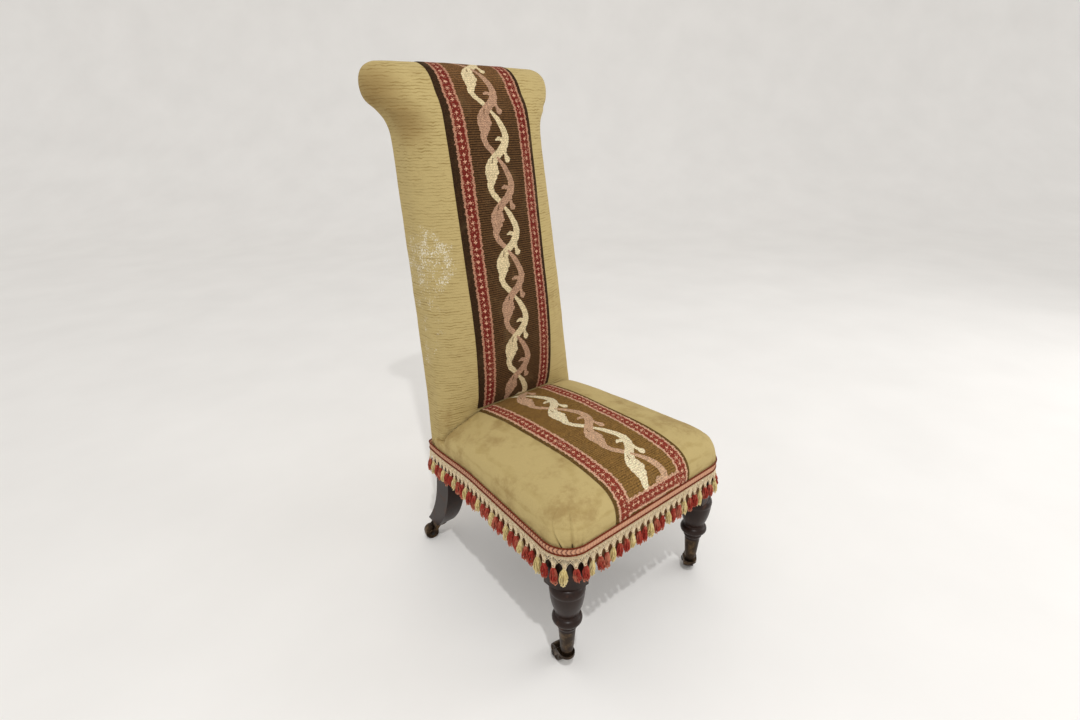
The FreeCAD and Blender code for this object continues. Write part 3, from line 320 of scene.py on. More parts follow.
# The rear corners have sunk, the left one, where people sit down, more than the right.
BRAID_TOP, LEFT_FALL, RIGHT_FALL = 297, 0.55, 0.15
FALL_FROM, FALL_LONG, FALL_INNER, FALL_WIDE = 200, 160, 92, 66
# Height, inset of the sides, inset of the front and place of the rear edge, from the trim upwards.
SEAT_LEVELS = (
    (257, 0, 0, SHELF_REAR), (279, 0, 0, SHELF_REAR), (294, 0, 0, SHELF_REAR), (297, 0, 0, SEAT_REAR),
    (312, 0, 1, SEAT_REAR), (327, 4, 7, SEAT_REAR), (338, 13, 17, SEAT_REAR), (347, 31, 33, SEAT_REAR),
    (352.5, 52, 55, 342), (357.5, 80, 88, 300), (361, 110, 126, 258), (363, 140, 160, 218),
    (364, 168, 182, 196))
# Pleats: place round the corner in degrees from the side, turn and length on the way up, depth in metres.
PLEATS = ((46, -36, 1.35, 0.0046), (62, -3, 1.6, 0.0040), (80, 6, 0.9, 0.0020))
PLEAT_FOOT, PLEAT_RISE = 0.279, 0.05
# GOLD_SHADE and SEAT_SHADE are painted shade for the creases of the velvet's ribs.
GOLD, GOLD_SHADE, GOLD_BROWN = paint(180, 160, 108), paint(146, 123, 72), paint(134, 106, 60)
SEAT_SHADE = paint(168, 147, 95)


def run_of(first, last, count):
    """Points from one end to the other, leaving the last one out."""
    return [first.lerp(last, k / count) for k in range(count)]


def frame_edge(y, half):
    """How far out the side of the seat lies at a distance behind the front legs."""
    return half - FRAME_TAPER * y


def fallen(point):
    """Height of a point of the seat once its rear corners have fallen towards the braid."""
    backwards = min(max((point.y - FALL_FROM) / FALL_LONG, 0), 1)
    outwards = min(max((abs(point.x) - FALL_INNER) / FALL_WIDE, 0), 1)
    fall = LEFT_FALL if point.x < 0 else RIGHT_FALL
    return point.z - fall * backwards * backwards * outwards * max(point.z - BRAID_TOP, 0)


def seat_loop(level, side_in, front_in, rear):
    """A closed run round the seat at one height: sides that close in backwards, round front corners."""
    half = FRAME_HALF + COVER - side_in
    front = FRAME_FRONT - COVER + front_in
    radius = max(FRAME_CORNER + COVER - 0.2 * side_in, 14)
    turn = min(front + radius, rear - 4)
    corner = Vector((frame_edge(turn, half) - radius, turn, level))
    arc = [corner + Vector((math.cos(a), -math.sin(a), 0)) * radius for a in np.linspace(0, math.pi / 2, 7)]
    rear_corner = Vector((frame_edge(rear, half), rear, level))
    right_side = run_of(rear_corner, arc[0], 10) + arc[:-1]
    half_front = run_of(arc[-1], Vector((0, front, level)), 7)
    half_rear = run_of(Vector((0, rear, level)), rear_corner, 8)
    right_half = half_rear + right_side + half_front
    left_half = [Vector((-p.x, p.y, p.z)) for p in reversed(right_half[1:])]
    whole = right_half + [Vector((0, front, level))] + left_half
    return [bench(p.x, p.y, fallen(p)) for p in whole]


def add_loop(bm, points):
    """A closed loop of edges through the points."""
    verts = [bm.verts.new(p) for p in points]
    return [bm.edges.new(pair) for pair in zip(verts, verts[1:] + verts[:1])]


def plain_mesh(name, data, rounding=0):
    """The plain mesh that a cage rounded by subdivision, or a thick curve, comes to."""
    holder = bpy.data.objects.new(name, data)
    bpy.context.collection.objects.link(holder)
    if rounding:
        modifier = holder.modifiers.new("rounding", "SUBSURF")
        modifier.levels = modifier.render_levels = rounding
    graph = bpy.context.evaluated_depsgraph_get()
    mesh = bpy.data.meshes.new_from_object(holder.evaluated_get(graph))
    bpy.data.objects.remove(holder)
    mesh.name = name
    return mesh


def skin_loops(name, loops, rounding):
    """A closed form through loops of equally many points, rounded by subdivision, as a plain mesh."""
    bm = bmesh.new()
    rows = [add_loop(bm, loop) for loop in loops]
    for lower, upper in zip(rows, rows[1:]):
        bmesh.ops.bridge_loops(bm, edges=lower + upper)
    for row in (rows[0], rows[-1]):
        bmesh.ops.contextual_create(bm, geom=list({v for e in row for v in e.verts}) + row)
    bmesh.ops.recalc_face_normals(bm, faces=bm.faces)
    cage = finished(bm, name + "_cage")
    mesh = plain_mesh(name, cage, rounding)
    bpy.data.meshes.remove(cage)
    return mesh


def move_points(mesh, shift):
    """Moves every point of a mesh along its normal by shift(point)."""
    normals = [vert.normal.copy() for vert in mesh.vertices]
    for vert, normal in zip(mesh.vertices, normals):
        vert.co += normal * shift(vert.co)


def seat_unevenness(point):
    """Low lumps of the hair under the cover, and pleats that gather the velvet at the front corners."""
    lump = 0.0012 * noise.noise(point * 16) + 0.0005 * noise.noise(point * 55)
    across, ahead = abs(point.x) - corner_centre.x, corner_centre.y - point.y
    rise = (point.z - PLEAT_FOOT) / PLEAT_RISE
    if across > -0.005 and ahead > -0.005 and 0 <= rise < 1.6:
        angle = math.degrees(math.atan2(ahead, across))
        for start, lean, length, depth in PLEATS:
            off = angle - max(start + lean * rise, 6)
            fade = max(0, 1 - rise / length)
            lump += depth * fade * (0.6 * math.exp(-((off - 5) / 3.4) ** 2) - math.exp(-(off / 2.2) ** 2))
    return lump


corner_centre = bench(FRAME_HALF - FRAME_CORNER, FRAME_FRONT + FRAME_CORNER, 0)
seat_form = skin_loops("seat_form", [seat_loop(*level) for level in SEAT_LEVELS], rounding=3)
move_points(seat_form, seat_unevenness)


def maths(tree, operation, *values):
    """One step of arithmetic on numbers or sockets, as a socket."""
    return add_node(tree, "ShaderNodeMath", dict(enumerate(values)), operation=operation).outputs["Value"]


def dimmed(tree, colour, share):
    """A colour made darker or lighter by a share."""
    made = add_node(tree, "ShaderNodeVectorMath", {0: colour, "Scale": share}, operation="SCALE")
    return made.outputs["Vector"]


def velvet(name, shade, rib_gap, rib_strength, stain_low):
    """The velvet's material, its node tree and shader, and the colour of the pile. rib_gap is in metres."""
    made, tree, shader = start_material(name, 0.85)
    lines = add_node(tree, "ShaderNodeTexWave", {
        "Vector": add_node(tree, "ShaderNodeTexCoord").outputs["Object"], "Scale": math.pi / 10 / rib_gap,
        "Distortion": 3.6, "Detail": 2.0, "Detail Scale": 1.5}, bands_direction="Z")
    breaks = clouds(tree, 1.0, 2.0, stretch=(38, 38, 150))
    rib = ranged(tree, maths(tree, "MULTIPLY_ADD", breaks, 1.7, lines.outputs["Fac"]), 0.6, 1.2)
    nap = clouds(tree, 900.0, 2.0)
    fade = maths(tree, "MULTIPLY", patches(tree, 7, 0.38, 0.66), 0.5)
    stain = maths(tree, "MULTIPLY", patches(tree, 13, stain_low, stain_low + 0.22, 0.7), 0.55)
    # The ribs' creases take the shade colour: painted shade in the creases, over the ribs' bump.
    ribs_with_painted_shade = blend_colours(tree, rib, shade, GOLD)
    faded = blend_colours(tree, fade, ribs_with_painted_shade, GOLD)
    soiled = blend_colours(tree, stain, faded, GOLD_BROWN)
    pile = dimmed(tree, soiled, ranged(tree, nap, to_low=0.82, to_high=1.18))
    tree.links.new(pile, shader.inputs["Base Color"])
    shader.inputs["Sheen Weight"].default_value = 0.2
    shader.inputs["Sheen Roughness"].default_value = 0.5
    shader.inputs["Sheen Tint"].default_value = GOLD
    shader.inputs["Specular IOR Level"].default_value = 0.2
    add_bump(tree, shader, maths(tree, "ADD", rib, nap), rib_strength, 0.0012)
    return made, tree, shader, pile


def keep_outside(mesh, name, cut_x):
    """The part of a mesh that lies further out than a plane across the chair, its open side closed."""
    bm = bmesh.new()
    bm.from_mesh(mesh)
    out = 1 if cut_x > 0 else -1
    everything = bm.verts[:] + bm.edges[:] + bm.faces[:]
    cut = bmesh.ops.bisect_plane(
        bm, geom=everything, plane_co=(cut_x, 0, 0), plane_no=(out, 0, 0), clear_inner=True)
    bmesh.ops.contextual_create(bm, geom=cut["geom_cut"])
    return finished(bm, name)


def place_piece(name, mesh, material, slot, *replaced):
    """Puts a finished mesh into the chair in the place of its CAD pieces."""
    mesh.materials.clear()
    mesh.materials.append(material)
    mesh.shade_smooth()
    made = bpy.data.objects.new(name, mesh)
    bpy.context.collection.objects.link(made)
    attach(made, "chair")
    if replaced:
        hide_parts(*replaced)
    return made


seat_velvet, *_ = velvet("seat_velvet", SEAT_SHADE, rib_gap=0.02, rib_strength=0.2, stain_low=0.44)
for side, cut_x in zip(SIDES, (-BAND_HALF / 1000, BAND_HALF / 1000)):
    name = f"seat_velvet_{side}"
    half = keep_outside(seat_form, name, cut_x)
    piece = place_piece(name, half, seat_velvet, "gold_velvet", f"seat_cover_{side}")

# Seat needlework: wool cross stitch on canvas, sewn between the velvets and turned over the front edge. Two
# strands of scrolling leaf, one cream and one pink, wind about each other on a brown ground between red
# borders with pale stars. One face of the mesh is one stitch.
STITCH = 1.45
REPEAT = 174
# Line of a strand over one repeat: place across, place along and half width.
STRAND = (
    (6, 0, 2.5), (20, 18, 5.5), (29.5, 37, 6.5), (32, 50, 7.4), (28, 62, 7.8), (16, 75, 7.4), (1, 86, 7.8),
    (-9, 97, 10), (-13, 106, 12.5), (-14, 113, 12.5), (-15, 126, 9.5), (-19, 138, 6.2), (-15, 150, 5.6))
STEM = ((-15, 150, 5.6), (-4, 162, 5.4), (6, 172, 4))
BARB = ((25, 56, 4), (15, 53, 3.6), (8, 55, 1.6))
CURL = ((27, 66, 4.4), (25, 78, 3.6), (27, 86, 4), (28.5, 90, 6.6))
SCALLOPS = ((-3, 104, 7), (-1, 112, 6), (-6, 121, 5.5))
SLIT = ((-5, 87, 0.9), (-8, 95, 0.9))
STAR_PITCH, STAR_REACH = 12.3, 3.6
EDGE_WIDE = 4.4
RIB_ROWS = 3
# How far above the form a stitch looks for it, the width of the seam and the rise of the wool, in metres.
SEARCH, SEAM_WIDE, SEAM_RISE, WOOL_RISE = 0.04, 0.004, 0.0003, 0.0009
# The line down the middle of the seat, from the back to the trim.
SEAT_LINE = [bench(0, y, z).yz for y, z in (
    (371, 347), (352, 351), (330, 354.5), (300, 357.5), (255, 361), (200, 364), (150, 364), (98, 361),
    (60, 358), (27, 353), (5, 347), (-11, 338), (-21, 327), (-27, 312), (-30.3, 296), (-30.3, 280))]
SEAT_STRIP = {
    "left": -63, "right": 63, "middle": 0, "wide": 28, "start": 151, "stretch": 0.8365, "hidden": 13,
    "ground": (126, 94, 50), "furrow": 0.95, "tone_along": ((0, 400), (1, 1)), "selvage": (104, 78, 40),
    "red": (140, 60, 46), "star": (232, 186, 152), "edge": (212, 168, 138),
    "cream": (240, 222, 184), "pink": (214, 174, 140)}


def stroke(across, along, points):
    """True where a stitch lies on a line of changing width, counted round the repeat."""
    hit = np.zeros(across.shape, bool)
    for (x0, y0, r0), (x1, y1, r1) in zip(points, points[1:]):
        for turn in (-REPEAT, 0, REPEAT):
            dx, dy = x1 - x0, y1 - y0
            share = np.clip(((across - x0) * dx + (along - y0 - turn) * dy) / (dx * dx + dy * dy), 0, 1)
            gap = np.hypot(across - x0 - share * dx, along - y0 - turn - share * dy)
            hit |= gap < r0 + (r1 - r0) * share
    return hit


def stem(across, along):
    """True on the thin end of a strand, which the other strand crosses."""
    return stroke(across, along, STEM)


def leaf(across, along):
    """True on the body of a strand: line, barb, curl and scalloped lobe, less the slit in the lobe."""
    hit = stroke(across, along, STRAND) | stroke(across, along, BARB) | stroke(across, along, CURL)
    for x, y, radius in SCALLOPS:
        hit |= np.hypot(across - x, along - y) < radius
    return hit & ~stroke(across, along, SLIT)


def border(colours, inside, offset, along, strip, dice):
    """Red border on the stitches inside, with a row of stars and pale edges whose teeth point outwards."""
    wide = strip["wide"]
    ahead = np.abs(along % STAR_PITCH - STAR_PITCH / 2)
    aside = np.abs(offset - wide / 2)
    ragged = 3.2 * (ahead / STAR_PITCH - 0.25) + dice.uniform(-1, 1, offset.shape)
    band = inside & (offset > -ragged) & (offset < wide + ragged)
    colours[band] = strip["red"]
    cross = (np.minimum(ahead, aside) < 0.8) & (np.maximum(ahead, aside) < STAR_REACH)
    star = cross | (ahead + aside < 0.62 * STAR_REACH)
    colours[band & star] = strip["star"]
    specks = dice.random(offset.shape) < 0.07
    colours[band & specks] = strip["edge"]
    colours[band & ((offset < EDGE_WIDE - ragged) | (offset > wide - EDGE_WIDE + ragged))] = strip["edge"]


def needlework_colours(across, along, strip, dice):
    """Colours of all stitches from their places across and along the strip."""
    row = np.round(along / STITCH - 0.5).astype(int)
    first_of_rib = row % RIB_ROWS == 0
    places = zip(row.flat, across.flat)
    rib = np.array([noise.noise(Vector((r // RIB_ROWS * 7.3, x / 16, 3))) for r, x in places])
    # The first row of each rib is darker: worn wool that shows the canvas, and painted shade in the furrow.
    furrow = np.where(first_of_rib, strip["furrow"] + 0.35 * rib.reshape(across.shape), 1.06)
    faded = np.interp(along, *strip["tone_along"]) * (furrow + dice.uniform(-0.12, 0.12, across.shape))
    colours = np.array(strip["ground"]) * faded[..., None]
    left, right, wide = strip["left"], strip["right"], strip["wide"]
    run = along * strip["stretch"] + strip["start"]
    for drawn in (stem, leaf):
        for wool, shift, darkest in (("cream", 0, 0.92), ("pink", REPEAT / 2, 0.8)):
            here = drawn(across - strip["middle"], (run + shift) % REPEAT)
            colours[here] = np.array(strip[wool]) * dice.uniform(darkest, 1.08, (here.sum(), 1))
    outside = (across < left - wide) | (across > right + wide)
    selvage = np.array(strip["selvage"]) * dice.uniform(0.8, 1.15, across.shape)[..., None]
    colours[outside] = selvage[outside]
    everywhere = np.ones(across.shape, bool)
    border(colours, everywhere, left - across, along, strip, dice)
    border(colours, everywhere, across - right, along, strip, dice)
    if "hidden" in strip:
        from_front = along.max() - strip["hidden"] - along
        between = (across > left - EDGE_WIDE) & (across < right + EDGE_WIDE)
        border(colours, between, from_front, across, strip, dice)
    # The first row of each rib is darker over every colour: painted shade along the ribs. Each stitch also
    # varies at random.
    worn = np.where(first_of_rib, 0.92, 1.02) * dice.uniform(0.86, 1.12, across.shape)
    return np.clip(colours * worn[..., None], 0, 255) / 255


def arc_walk(points, step):
    """Points at even steps along a smooth line through (y, z) points, with the direction at each."""
    dense = []
    for k in range(len(points) - 1):
        p0, p1, p2, p3 = (Vector(points[min(max(k + j, 0), len(points) - 1)]) for j in (-1, 0, 1, 2))
        for t in np.linspace(0, 1, 12, endpoint=False):
            square = 2 * p0 - 5 * p1 + 4 * p2 - p3
            cube = 3 * p1 - p0 - 3 * p2 + p3
            dense.append(0.5 * (2 * p1 + (p2 - p0) * t + square * t ** 2 + cube * t ** 3))
    dense.append(Vector(points[-1]))
    lengths = np.concatenate(([0], np.cumsum([(b - a).length for a, b in zip(dense, dense[1:])])))
    evenly = np.arange(0, lengths[-1], step)
    ys, zs = (np.interp(evenly, lengths, [p[i] for p in dense]) for i in (0, 1))
    return list(zip(ys, zs)), np.gradient(ys), np.gradient(zs)


def needlework_mesh(name, form, line, strip, seed):
    """A strip of stitches laid on a padded form along its middle line, given as (y, z) in metres."""
    form_points = [vert.co.copy() for vert in form.vertices]
    finder = BVHTree.FromPolygons(form_points, [list(polygon.vertices) for polygon in form.polygons])
    path, run_y, run_z = arc_walk(line, STITCH / 1000)
    columns = np.linspace(-BAND_HALF, BAND_HALF, int(2 * BAND_HALF / STITCH) + 1) / 1000
    wide, long = len(columns) - 1, len(path) - 1
    bm = bmesh.new()
    bmesh.ops.create_grid(bm, x_segments=wide, y_segments=long, size=1)
    for vert in bm.verts:
        column = round((vert.co.x + 1) / 2 * wide)
        row = round((vert.co.y + 1) / 2 * long)
        out = -Vector((0, -run_z[row], run_y[row])).normalized()
        place = Vector((columns[column], *path[row]))
        hit = finder.ray_cast(place + out * SEARCH, -out, 0.1)[0]
        seam = min(1, (BAND_HALF / 1000 - abs(columns[column])) / SEAM_WIDE)
        vert.co = (hit if hit else place) + out * (SEAM_RISE + WOOL_RISE * seam)
    mesh = finished(bm, name)
    across, along = np.meshgrid((columns[:-1] + columns[1:]) * 500, (np.arange(long) + 0.5) * STITCH)
    screen = needlework_colours(across, along, strip, np.random.default_rng(seed)).reshape(-1, 3)
    light = np.where(screen <= 0.04045, screen / 12.92, ((screen + 0.055) / 1.055) ** 2.4)
    tint = mesh.attributes.new("wool", "FLOAT_COLOR", "CORNER")
    tint.data.foreach_set("color", np.repeat(np.c_[light, np.ones(len(light))], 4, axis=0).ravel())
    rows, cols = np.divmod(np.arange(len(light)), wide)
    corners = np.array(((0, 0), (1, 0), (1, 1), (0, 1)))
    grid = np.stack((cols, rows), axis=1)[:, None, :] + corners[None]
    mesh.uv_layers.new(name="stitches").data.foreach_set("uv", grid.astype(np.float32).ravel())
    return mesh


def stitched_wool(name):
    """Wool stitches: each one a small cushion, darker towards its edges with painted shade, coloured by the
    embroiderer, dusty and frayed.
    """
    made, tree, shader = start_material(name, 0.95)
    wool = add_node(tree, "ShaderNodeAttribute", attribute_name="wool").outputs["Color"]
    grid = add_node(tree, "ShaderNodeUVMap", uv_map="stitches").outputs["UV"]
    split = add_node(tree, "ShaderNodeSeparateXYZ", {"Vector": grid}).outputs
    waves = [maths(tree, "SINE", maths(tree, "MULTIPLY", split[axis], math.pi)) for axis in "XY"]
    hump = maths(tree, "MULTIPLY", *[maths(tree, "ABSOLUTE", wave) for wave in waves])
    # Painted shade darkens each stitch towards its edges, where the stitches meet.
    shaded_between_stitches = dimmed(tree, wool, ranged(tree, hump, high=0.45, to_low=0.6, to_high=1.05))
    dust = maths(tree, "MULTIPLY", patches(tree, 24, 0.5, 0.8), 0.12)
    tree.links.new(blend_colours(tree, dust, shaded_between_stitches, paint(176, 146, 104)), shader.inputs["Base Color"])
    shader.inputs["Specular IOR Level"].default_value = 0.08
    add_bump(tree, shader, maths(tree, "ADD", hump, clouds(tree, 1400.0, 2.0)), 0.5, 0.001)
    return made


wool_stitches = stitched_wool("wool_stitches")
seat_stitches = needlework_mesh("seat_needlework", seat_form, SEAT_LINE, SEAT_STRIP, seed=7)
seat_band = place_piece(
    "seat_needlework", seat_stitches, wool_stitches, "needlework", "seat_cover_band", "seat_stuffing")

# Back: hair stuffing over the uprights and the crest rail, rolled over at the top into a scroll with two
# ears. Velvet is drawn down both sides in fine crosswise ribs, and a plain velvet panel is sewn on behind.
RAKE_FOOT, RAKE = (397, 330), 0.153
POST_DEEP, POST_REAR, POST_EDGE = 37, 431, 9
SCROLL_Y, SCROLL_Z, SCROLL_RADIUS, SCROLL_LOW = 514, 958, 51.6, 932
# The panel behind ends under the scroll, in metres.
PANEL_TOP = 0.93
# Height, front at the middle, half width, and how square the front's plan is (2 is an ellipse).
BACK_LEVELS = (
    (256, 374, 182, 9), (268, 374, 182, 9), (303, 373.6, 181.6, 9), (338, 372.9, 180, 8),
    (349, 372.1, 179, 6), (366, 364, 177.4, 4), (395, 358, 175.4, 3.2), (440, 354, 173.4, 2.9),
    (495, 354, 171.6, 2.8), (560, 360, 169.6, 2.8), (630, 371, 167.2, 2.8), (700, 380.5, 164.9, 2.8),
    (770, 390, 162.4, 2.8), (830, 398.5, 159.8, 2.9), (870, 405.5, 158.6, 3), (890, 409.6, 159.4, 3),
    (905, 413.3, 162.4, 3.1), (918, 417.9, 169, 3.2), (928, 422, 178.5, 3.4), (937, 426.8, 191, 3.7),
    (946, 433, 200.5, 4), (958, 443.7, 205.5, 4.4), (974.8, 451.4, 208, 4.6), (988.1, 461.8, 206.4, 4.6),
    (998.2, 473.8, 201, 4.6), (1005, 486.9, 192, 4.4), (1009, 500.3, 180, 4.2), (1010.3, 508, 170, 4))
# Painted shade browns the left ear and the flare under it. The pile is worn off to its white ground on the
# left edge, in a wide patch with a streak below it. Each place is an ellipsoid: centre and half sizes, and
# how bare a worn one is.
LEFT_EAR_SHADE = (
    (bench(-205, 470, 960), Vector((0.075, 0.12, 0.075))),
    (bench(-165, 440, 905), Vector((0.06, 0.09, 0.06))))
WORN = (
    (bench(-164, 405, 668), Vector((0.075, 0.13, 0.095)), 0.36),
    (bench(-180, 425, 575), Vector((0.05, 0.12, 0.2)), 0.27))
WHITE_GROUND = paint(216, 208, 186)


def back_loop(level, front, half, square):
    """A closed run round the back at one height: bowed in front, flat or, at the scroll, round behind."""
    scrolled = level > SCROLL_LOW
    upright_front = RAKE_FOOT[0] + RAKE * (level - RAKE_FOOT[1])
    side = SCROLL_Y if scrolled else upright_front - 4

    def bowed(turn, far):
        return half * math.sin(turn) ** (2 / square), side + (far - side) * math.cos(turn)

    run = [bowed(turn, front) for turn in np.linspace(0, math.pi / 2, 14)]
    if scrolled:
        rear = SCROLL_Y + max(SCROLL_RADIUS ** 2 - (level - SCROLL_Z) ** 2, 30) ** 0.5
        run += [bowed(turn, rear) for turn in np.linspace(math.pi / 2, 0, 17)[1:-1]]
    else:
        rear = max(side + 4 + POST_DEEP, POST_REAR) + COVER
        edge, soft = rear - POST_EDGE, half - POST_EDGE
        quarter = np.linspace(0, math.pi / 2, 8)
        run += [(half, side + (edge - side) * share) for share in (0.25, 0.5, 0.75)]
        run += [(soft + POST_EDGE * math.cos(a), edge + POST_EDGE * math.sin(a)) for a in quarter]
        run += [(soft * share, rear) for share in (0.8, 0.6, 0.4, 0.2)]
    whole = run + [(0, rear)] + [(-x, y) for x, y in reversed(run[1:])]
    return [bench(x, y, level) for x, y in whole]


def back_unevenness(point):
    """Low lumps of the hair under the cover."""
    return 0.001 * noise.noise(point * 14) + 0.0004 * noise.noise(point * 60)


def nearness(tree, centre, size, core, most):
    """From 0 at the edge of an ellipsoid to most at its core, which is a share of its size, as a socket."""
    where = add_node(tree, "ShaderNodeTexCoord").outputs["Object"]
    shares = vector_maths(tree, "DIVIDE", vector_maths(tree, "SUBTRACT", where, centre), size)
    away = add_node(tree, "ShaderNodeVectorMath", {0: shares}, operation="LENGTH").outputs["Value"]
    return ranged(tree, away, 1.0, core, to_high=most, ease="SMOOTHSTEP")


def split_back(form):
    """The form's faces as meshes: left, right, lining under the needlework and panel behind the uprights."""
    edge = BAND_HALF / 1000
    whole = bmesh.new()
    whole.from_mesh(form)
    for cut_x in (-edge, edge):
        everything = whole.verts[:] + whole.edges[:] + whole.faces[:]
        bmesh.ops.bisect_plane(whole, geom=everything, plane_co=(cut_x, 0, 0), plane_no=(1, 0, 0))
    cut = finished(whole, "back_cut")
    names = ("back_velvet_left", "back_velvet_right", "back_lining", "outside_back")
    kept = {name: set() for name in names}
    for polygon in cut.polygons:
        centre, normal = polygon.center, polygon.normal
        if normal.y > 0.75 and centre.z < PANEL_TOP and normal.z < 0.2:
            name = "outside_back"
        elif abs(centre.x) < edge:
            name = "back_lining"
        else:
            name = "back_velvet_left" if centre.x < 0 else "back_velvet_right"
        kept[name].add(polygon.index)
    parts = {}
    for name, faces in kept.items():
        part = bmesh.new()
        part.from_mesh(cut)
        bmesh.ops.delete(part, geom=[f for f in part.faces if f.index not in faces], context="FACES")
        parts[name] = finished(part, name)
    return parts


back_form = skin_loops("back_form", [back_loop(*level) for level in BACK_LEVELS], rounding=2)
move_points(back_form, back_unevenness)
back_velvet, tree, shader, surface = velvet(
    "back_velvet", GOLD_SHADE, rib_gap=0.0054, rib_strength=0.55, stain_low=0.56)
# Painted shade: brown on the end of the left ear and in the flare under it.
for centre, size in LEFT_EAR_SHADE:
    surface = blend_colours(tree, nearness(tree, centre, size, 0.1, 0.7), surface, GOLD_BROWN)
frayed = maths(tree, "MULTIPLY_ADD", clouds(tree, 45.0, 2.0), 0.55, clouds(tree, 380.0, 2.0, 0.7))
for centre, size, bareness in WORN:
    flecks = maths(tree, "ADD", nearness(tree, centre, size, 0.5, bareness), frayed)
    surface = blend_colours(tree, ranged(tree, flecks, 1.16, 1.28), surface, WHITE_GROUND)
tree.links.new(surface, shader.inputs["Base Color"])

back_parts = split_back(back_form)
for side in SIDES:
    name = f"back_velvet_{side}"
    piece = place_piece(name, back_parts[name], back_velvet, "gold_velvet", f"back_cover_{side}")
panel_mesh = back_parts["outside_back"]
panel = place_piece("outside_back", panel_mesh, back_velvet, "gold_velvet", "outside_back_cover")
place_piece("back_lining", back_parts["back_lining"], back_velvet, "gold_velvet")

# Back needlework: the same wool cross stitch as on the seat, on a darker ground that is drawn lighter at the
# top. It runs from the foot of the back up the middle and over the scroll, and is sewn between the velvets.
BACK_LINE = [bench(0, front, level).yz for level, front, _, _ in BACK_LEVELS[4:]]
for angle in range(75, -26, -20):
    turn = math.radians(angle)
    over = (SCROLL_Y + math.cos(turn) * SCROLL_RADIUS, SCROLL_Z + math.sin(turn) * SCROLL_RADIUS)
    BACK_LINE.append(bench(0, *over).yz)
BACK_LINE.reverse()
BACK_STRIP = {
    "left": -57, "right": 62, "middle": -4.5, "wide": 27, "start": 119, "stretch": 0.98,
    "ground": (85, 60, 36), "furrow": 0.5, "tone_along": ((0, 150, 215, 300), (1.5, 1.4, 1.15, 1)),
    "selvage": (58, 40, 24), "red": (116, 41, 33), "star": (222, 170, 140), "edge": (182, 132, 106),
    "cream": (220, 200, 158), "pink": (190, 150, 121)}
back_stitches = needlework_mesh("back_needlework", back_form, BACK_LINE, BACK_STRIP, seed=11)
back_band = place_piece(
    "back_needlework", back_stitches, wool_stitches, "needlework", "back_cover_band", "back_stuffing")

# Braid: a flat woven band of salmon wool with brown chevrons, nailed round the seat over the velvet's edge.
# It has dropped a little towards the rear corners. Its chevrons are drawn faint along the front and strong on
# the sides, as painted shade on the sides.
REAR_RADIUS = 6.4
TRIM_SINK, SINK_FROM, SINK_TO = 15, 235, 415
# Outline of the braid: distance out from the frame, how much the picks swell it, and height.
BRAID_OUTLINE = (
    (2.5, 0, 278.2), (4.4, 0, 278.2), (4.9, 1, 281), (5.1, -1, 284.6), (4.9, 1, 288), (4.4, 0, 290.8),
    (2.5, 0, 290.8), (2.5, 0, 278.2))
PICK_SWELL, PICK_LONG, BRAID_STEPS = 0.25, 5, 800
CHEVRON_PITCH, CHEVRON_FOLD, CHEVRON_TILT = 6.6, 0.42, 14.0
SALMON, PALE_SALMON, PICK_BROWN = paint(200, 146, 114), paint(222, 194, 158), paint(112, 62, 46)


def trim_run():
    """Plan of the seat frame from the rear middle: points (x, y), outward normals, and the way walked."""
    slope, quarter = math.atan(FRAME_TAPER), math.pi / 2

    def arc(y, radius, first, last):
        x = frame_edge(y, FRAME_HALF) - radius
        return [(x + radius * math.cos(a), y + radius * math.sin(a), math.cos(a), math.sin(a))
                for a in np.linspace(first, last, 40)]

    half = [(0, POST_REAR, 0, 1)]
    half += arc(POST_REAR - REAR_RADIUS, REAR_RADIUS, quarter, slope)
    half += arc(FRAME_FRONT + FRAME_CORNER, FRAME_CORNER, slope, -quarter)
    run = np.array(half + [(-x, y, -nx, ny) for x, y, nx, ny in reversed(half)])
    steps = np.hypot(*np.diff(run[:, :2], axis=0).T)
    return run, np.concatenate(([0], np.cumsum(steps)))


TRIM_PLAN, TRIM_WAY = trim_run()
TRIM_LONG = TRIM_WAY[-1]


def trim_sink(y):
    """How far the trim has dropped at a distance behind the front legs."""
    share = np.clip((y - SINK_FROM) / (SINK_TO - SINK_FROM), 0, 1)
    return TRIM_SINK * share * share * (3 - 2 * share)


def on_trim(way, out, level):
    """A place on the trim: distance along it, distance out from the frame and height."""
    x, y, nx, ny = (np.interp(way % TRIM_LONG, TRIM_WAY, TRIM_PLAN[:, i]) for i in range(4))
    size = math.hypot(nx, ny)
    return bench(x + nx / size * out, y + ny / size * out, level - trim_sink(y))


def swept(name, count, section):
    """A closed band round the seat. section(way) gives its (out, level) points, first and last alike."""
    points = len(section(0)) - 1
    bm = bmesh.new()
    bmesh.ops.create_grid(bm, x_segments=count, y_segments=points, size=1)
    for vert in bm.verts:
        way = round((vert.co.x + 1) / 2 * count) / count * TRIM_LONG
        out, level = section(way)[round((vert.co.y + 1) / 2 * points)]
        vert.co = on_trim(way, out, level)
    layer = bm.loops.layers.uv.new("weave")
    for number, face in enumerate(bm.faces):
        row, column = divmod(number, count)
        for loop, (du, dv) in zip(face.loops, ((0, 0), (1, 0), (1, 1), (0, 1))):
            loop[layer].uv = ((column + du) / count * TRIM_LONG, (row + dv) / points)
    bmesh.ops.remove_doubles(bm, verts=bm.verts, dist=1e-6)
    bmesh.ops.recalc_face_normals(bm, faces=bm.faces)
    return finished(bm, name)


def braid_section(way):
    """The braid's outline, swollen by its picks."""
    swell = PICK_SWELL * math.sin(way / PICK_LONG * math.pi)
    return [(out + share * swell, level) for out, share, level in BRAID_OUTLINE]


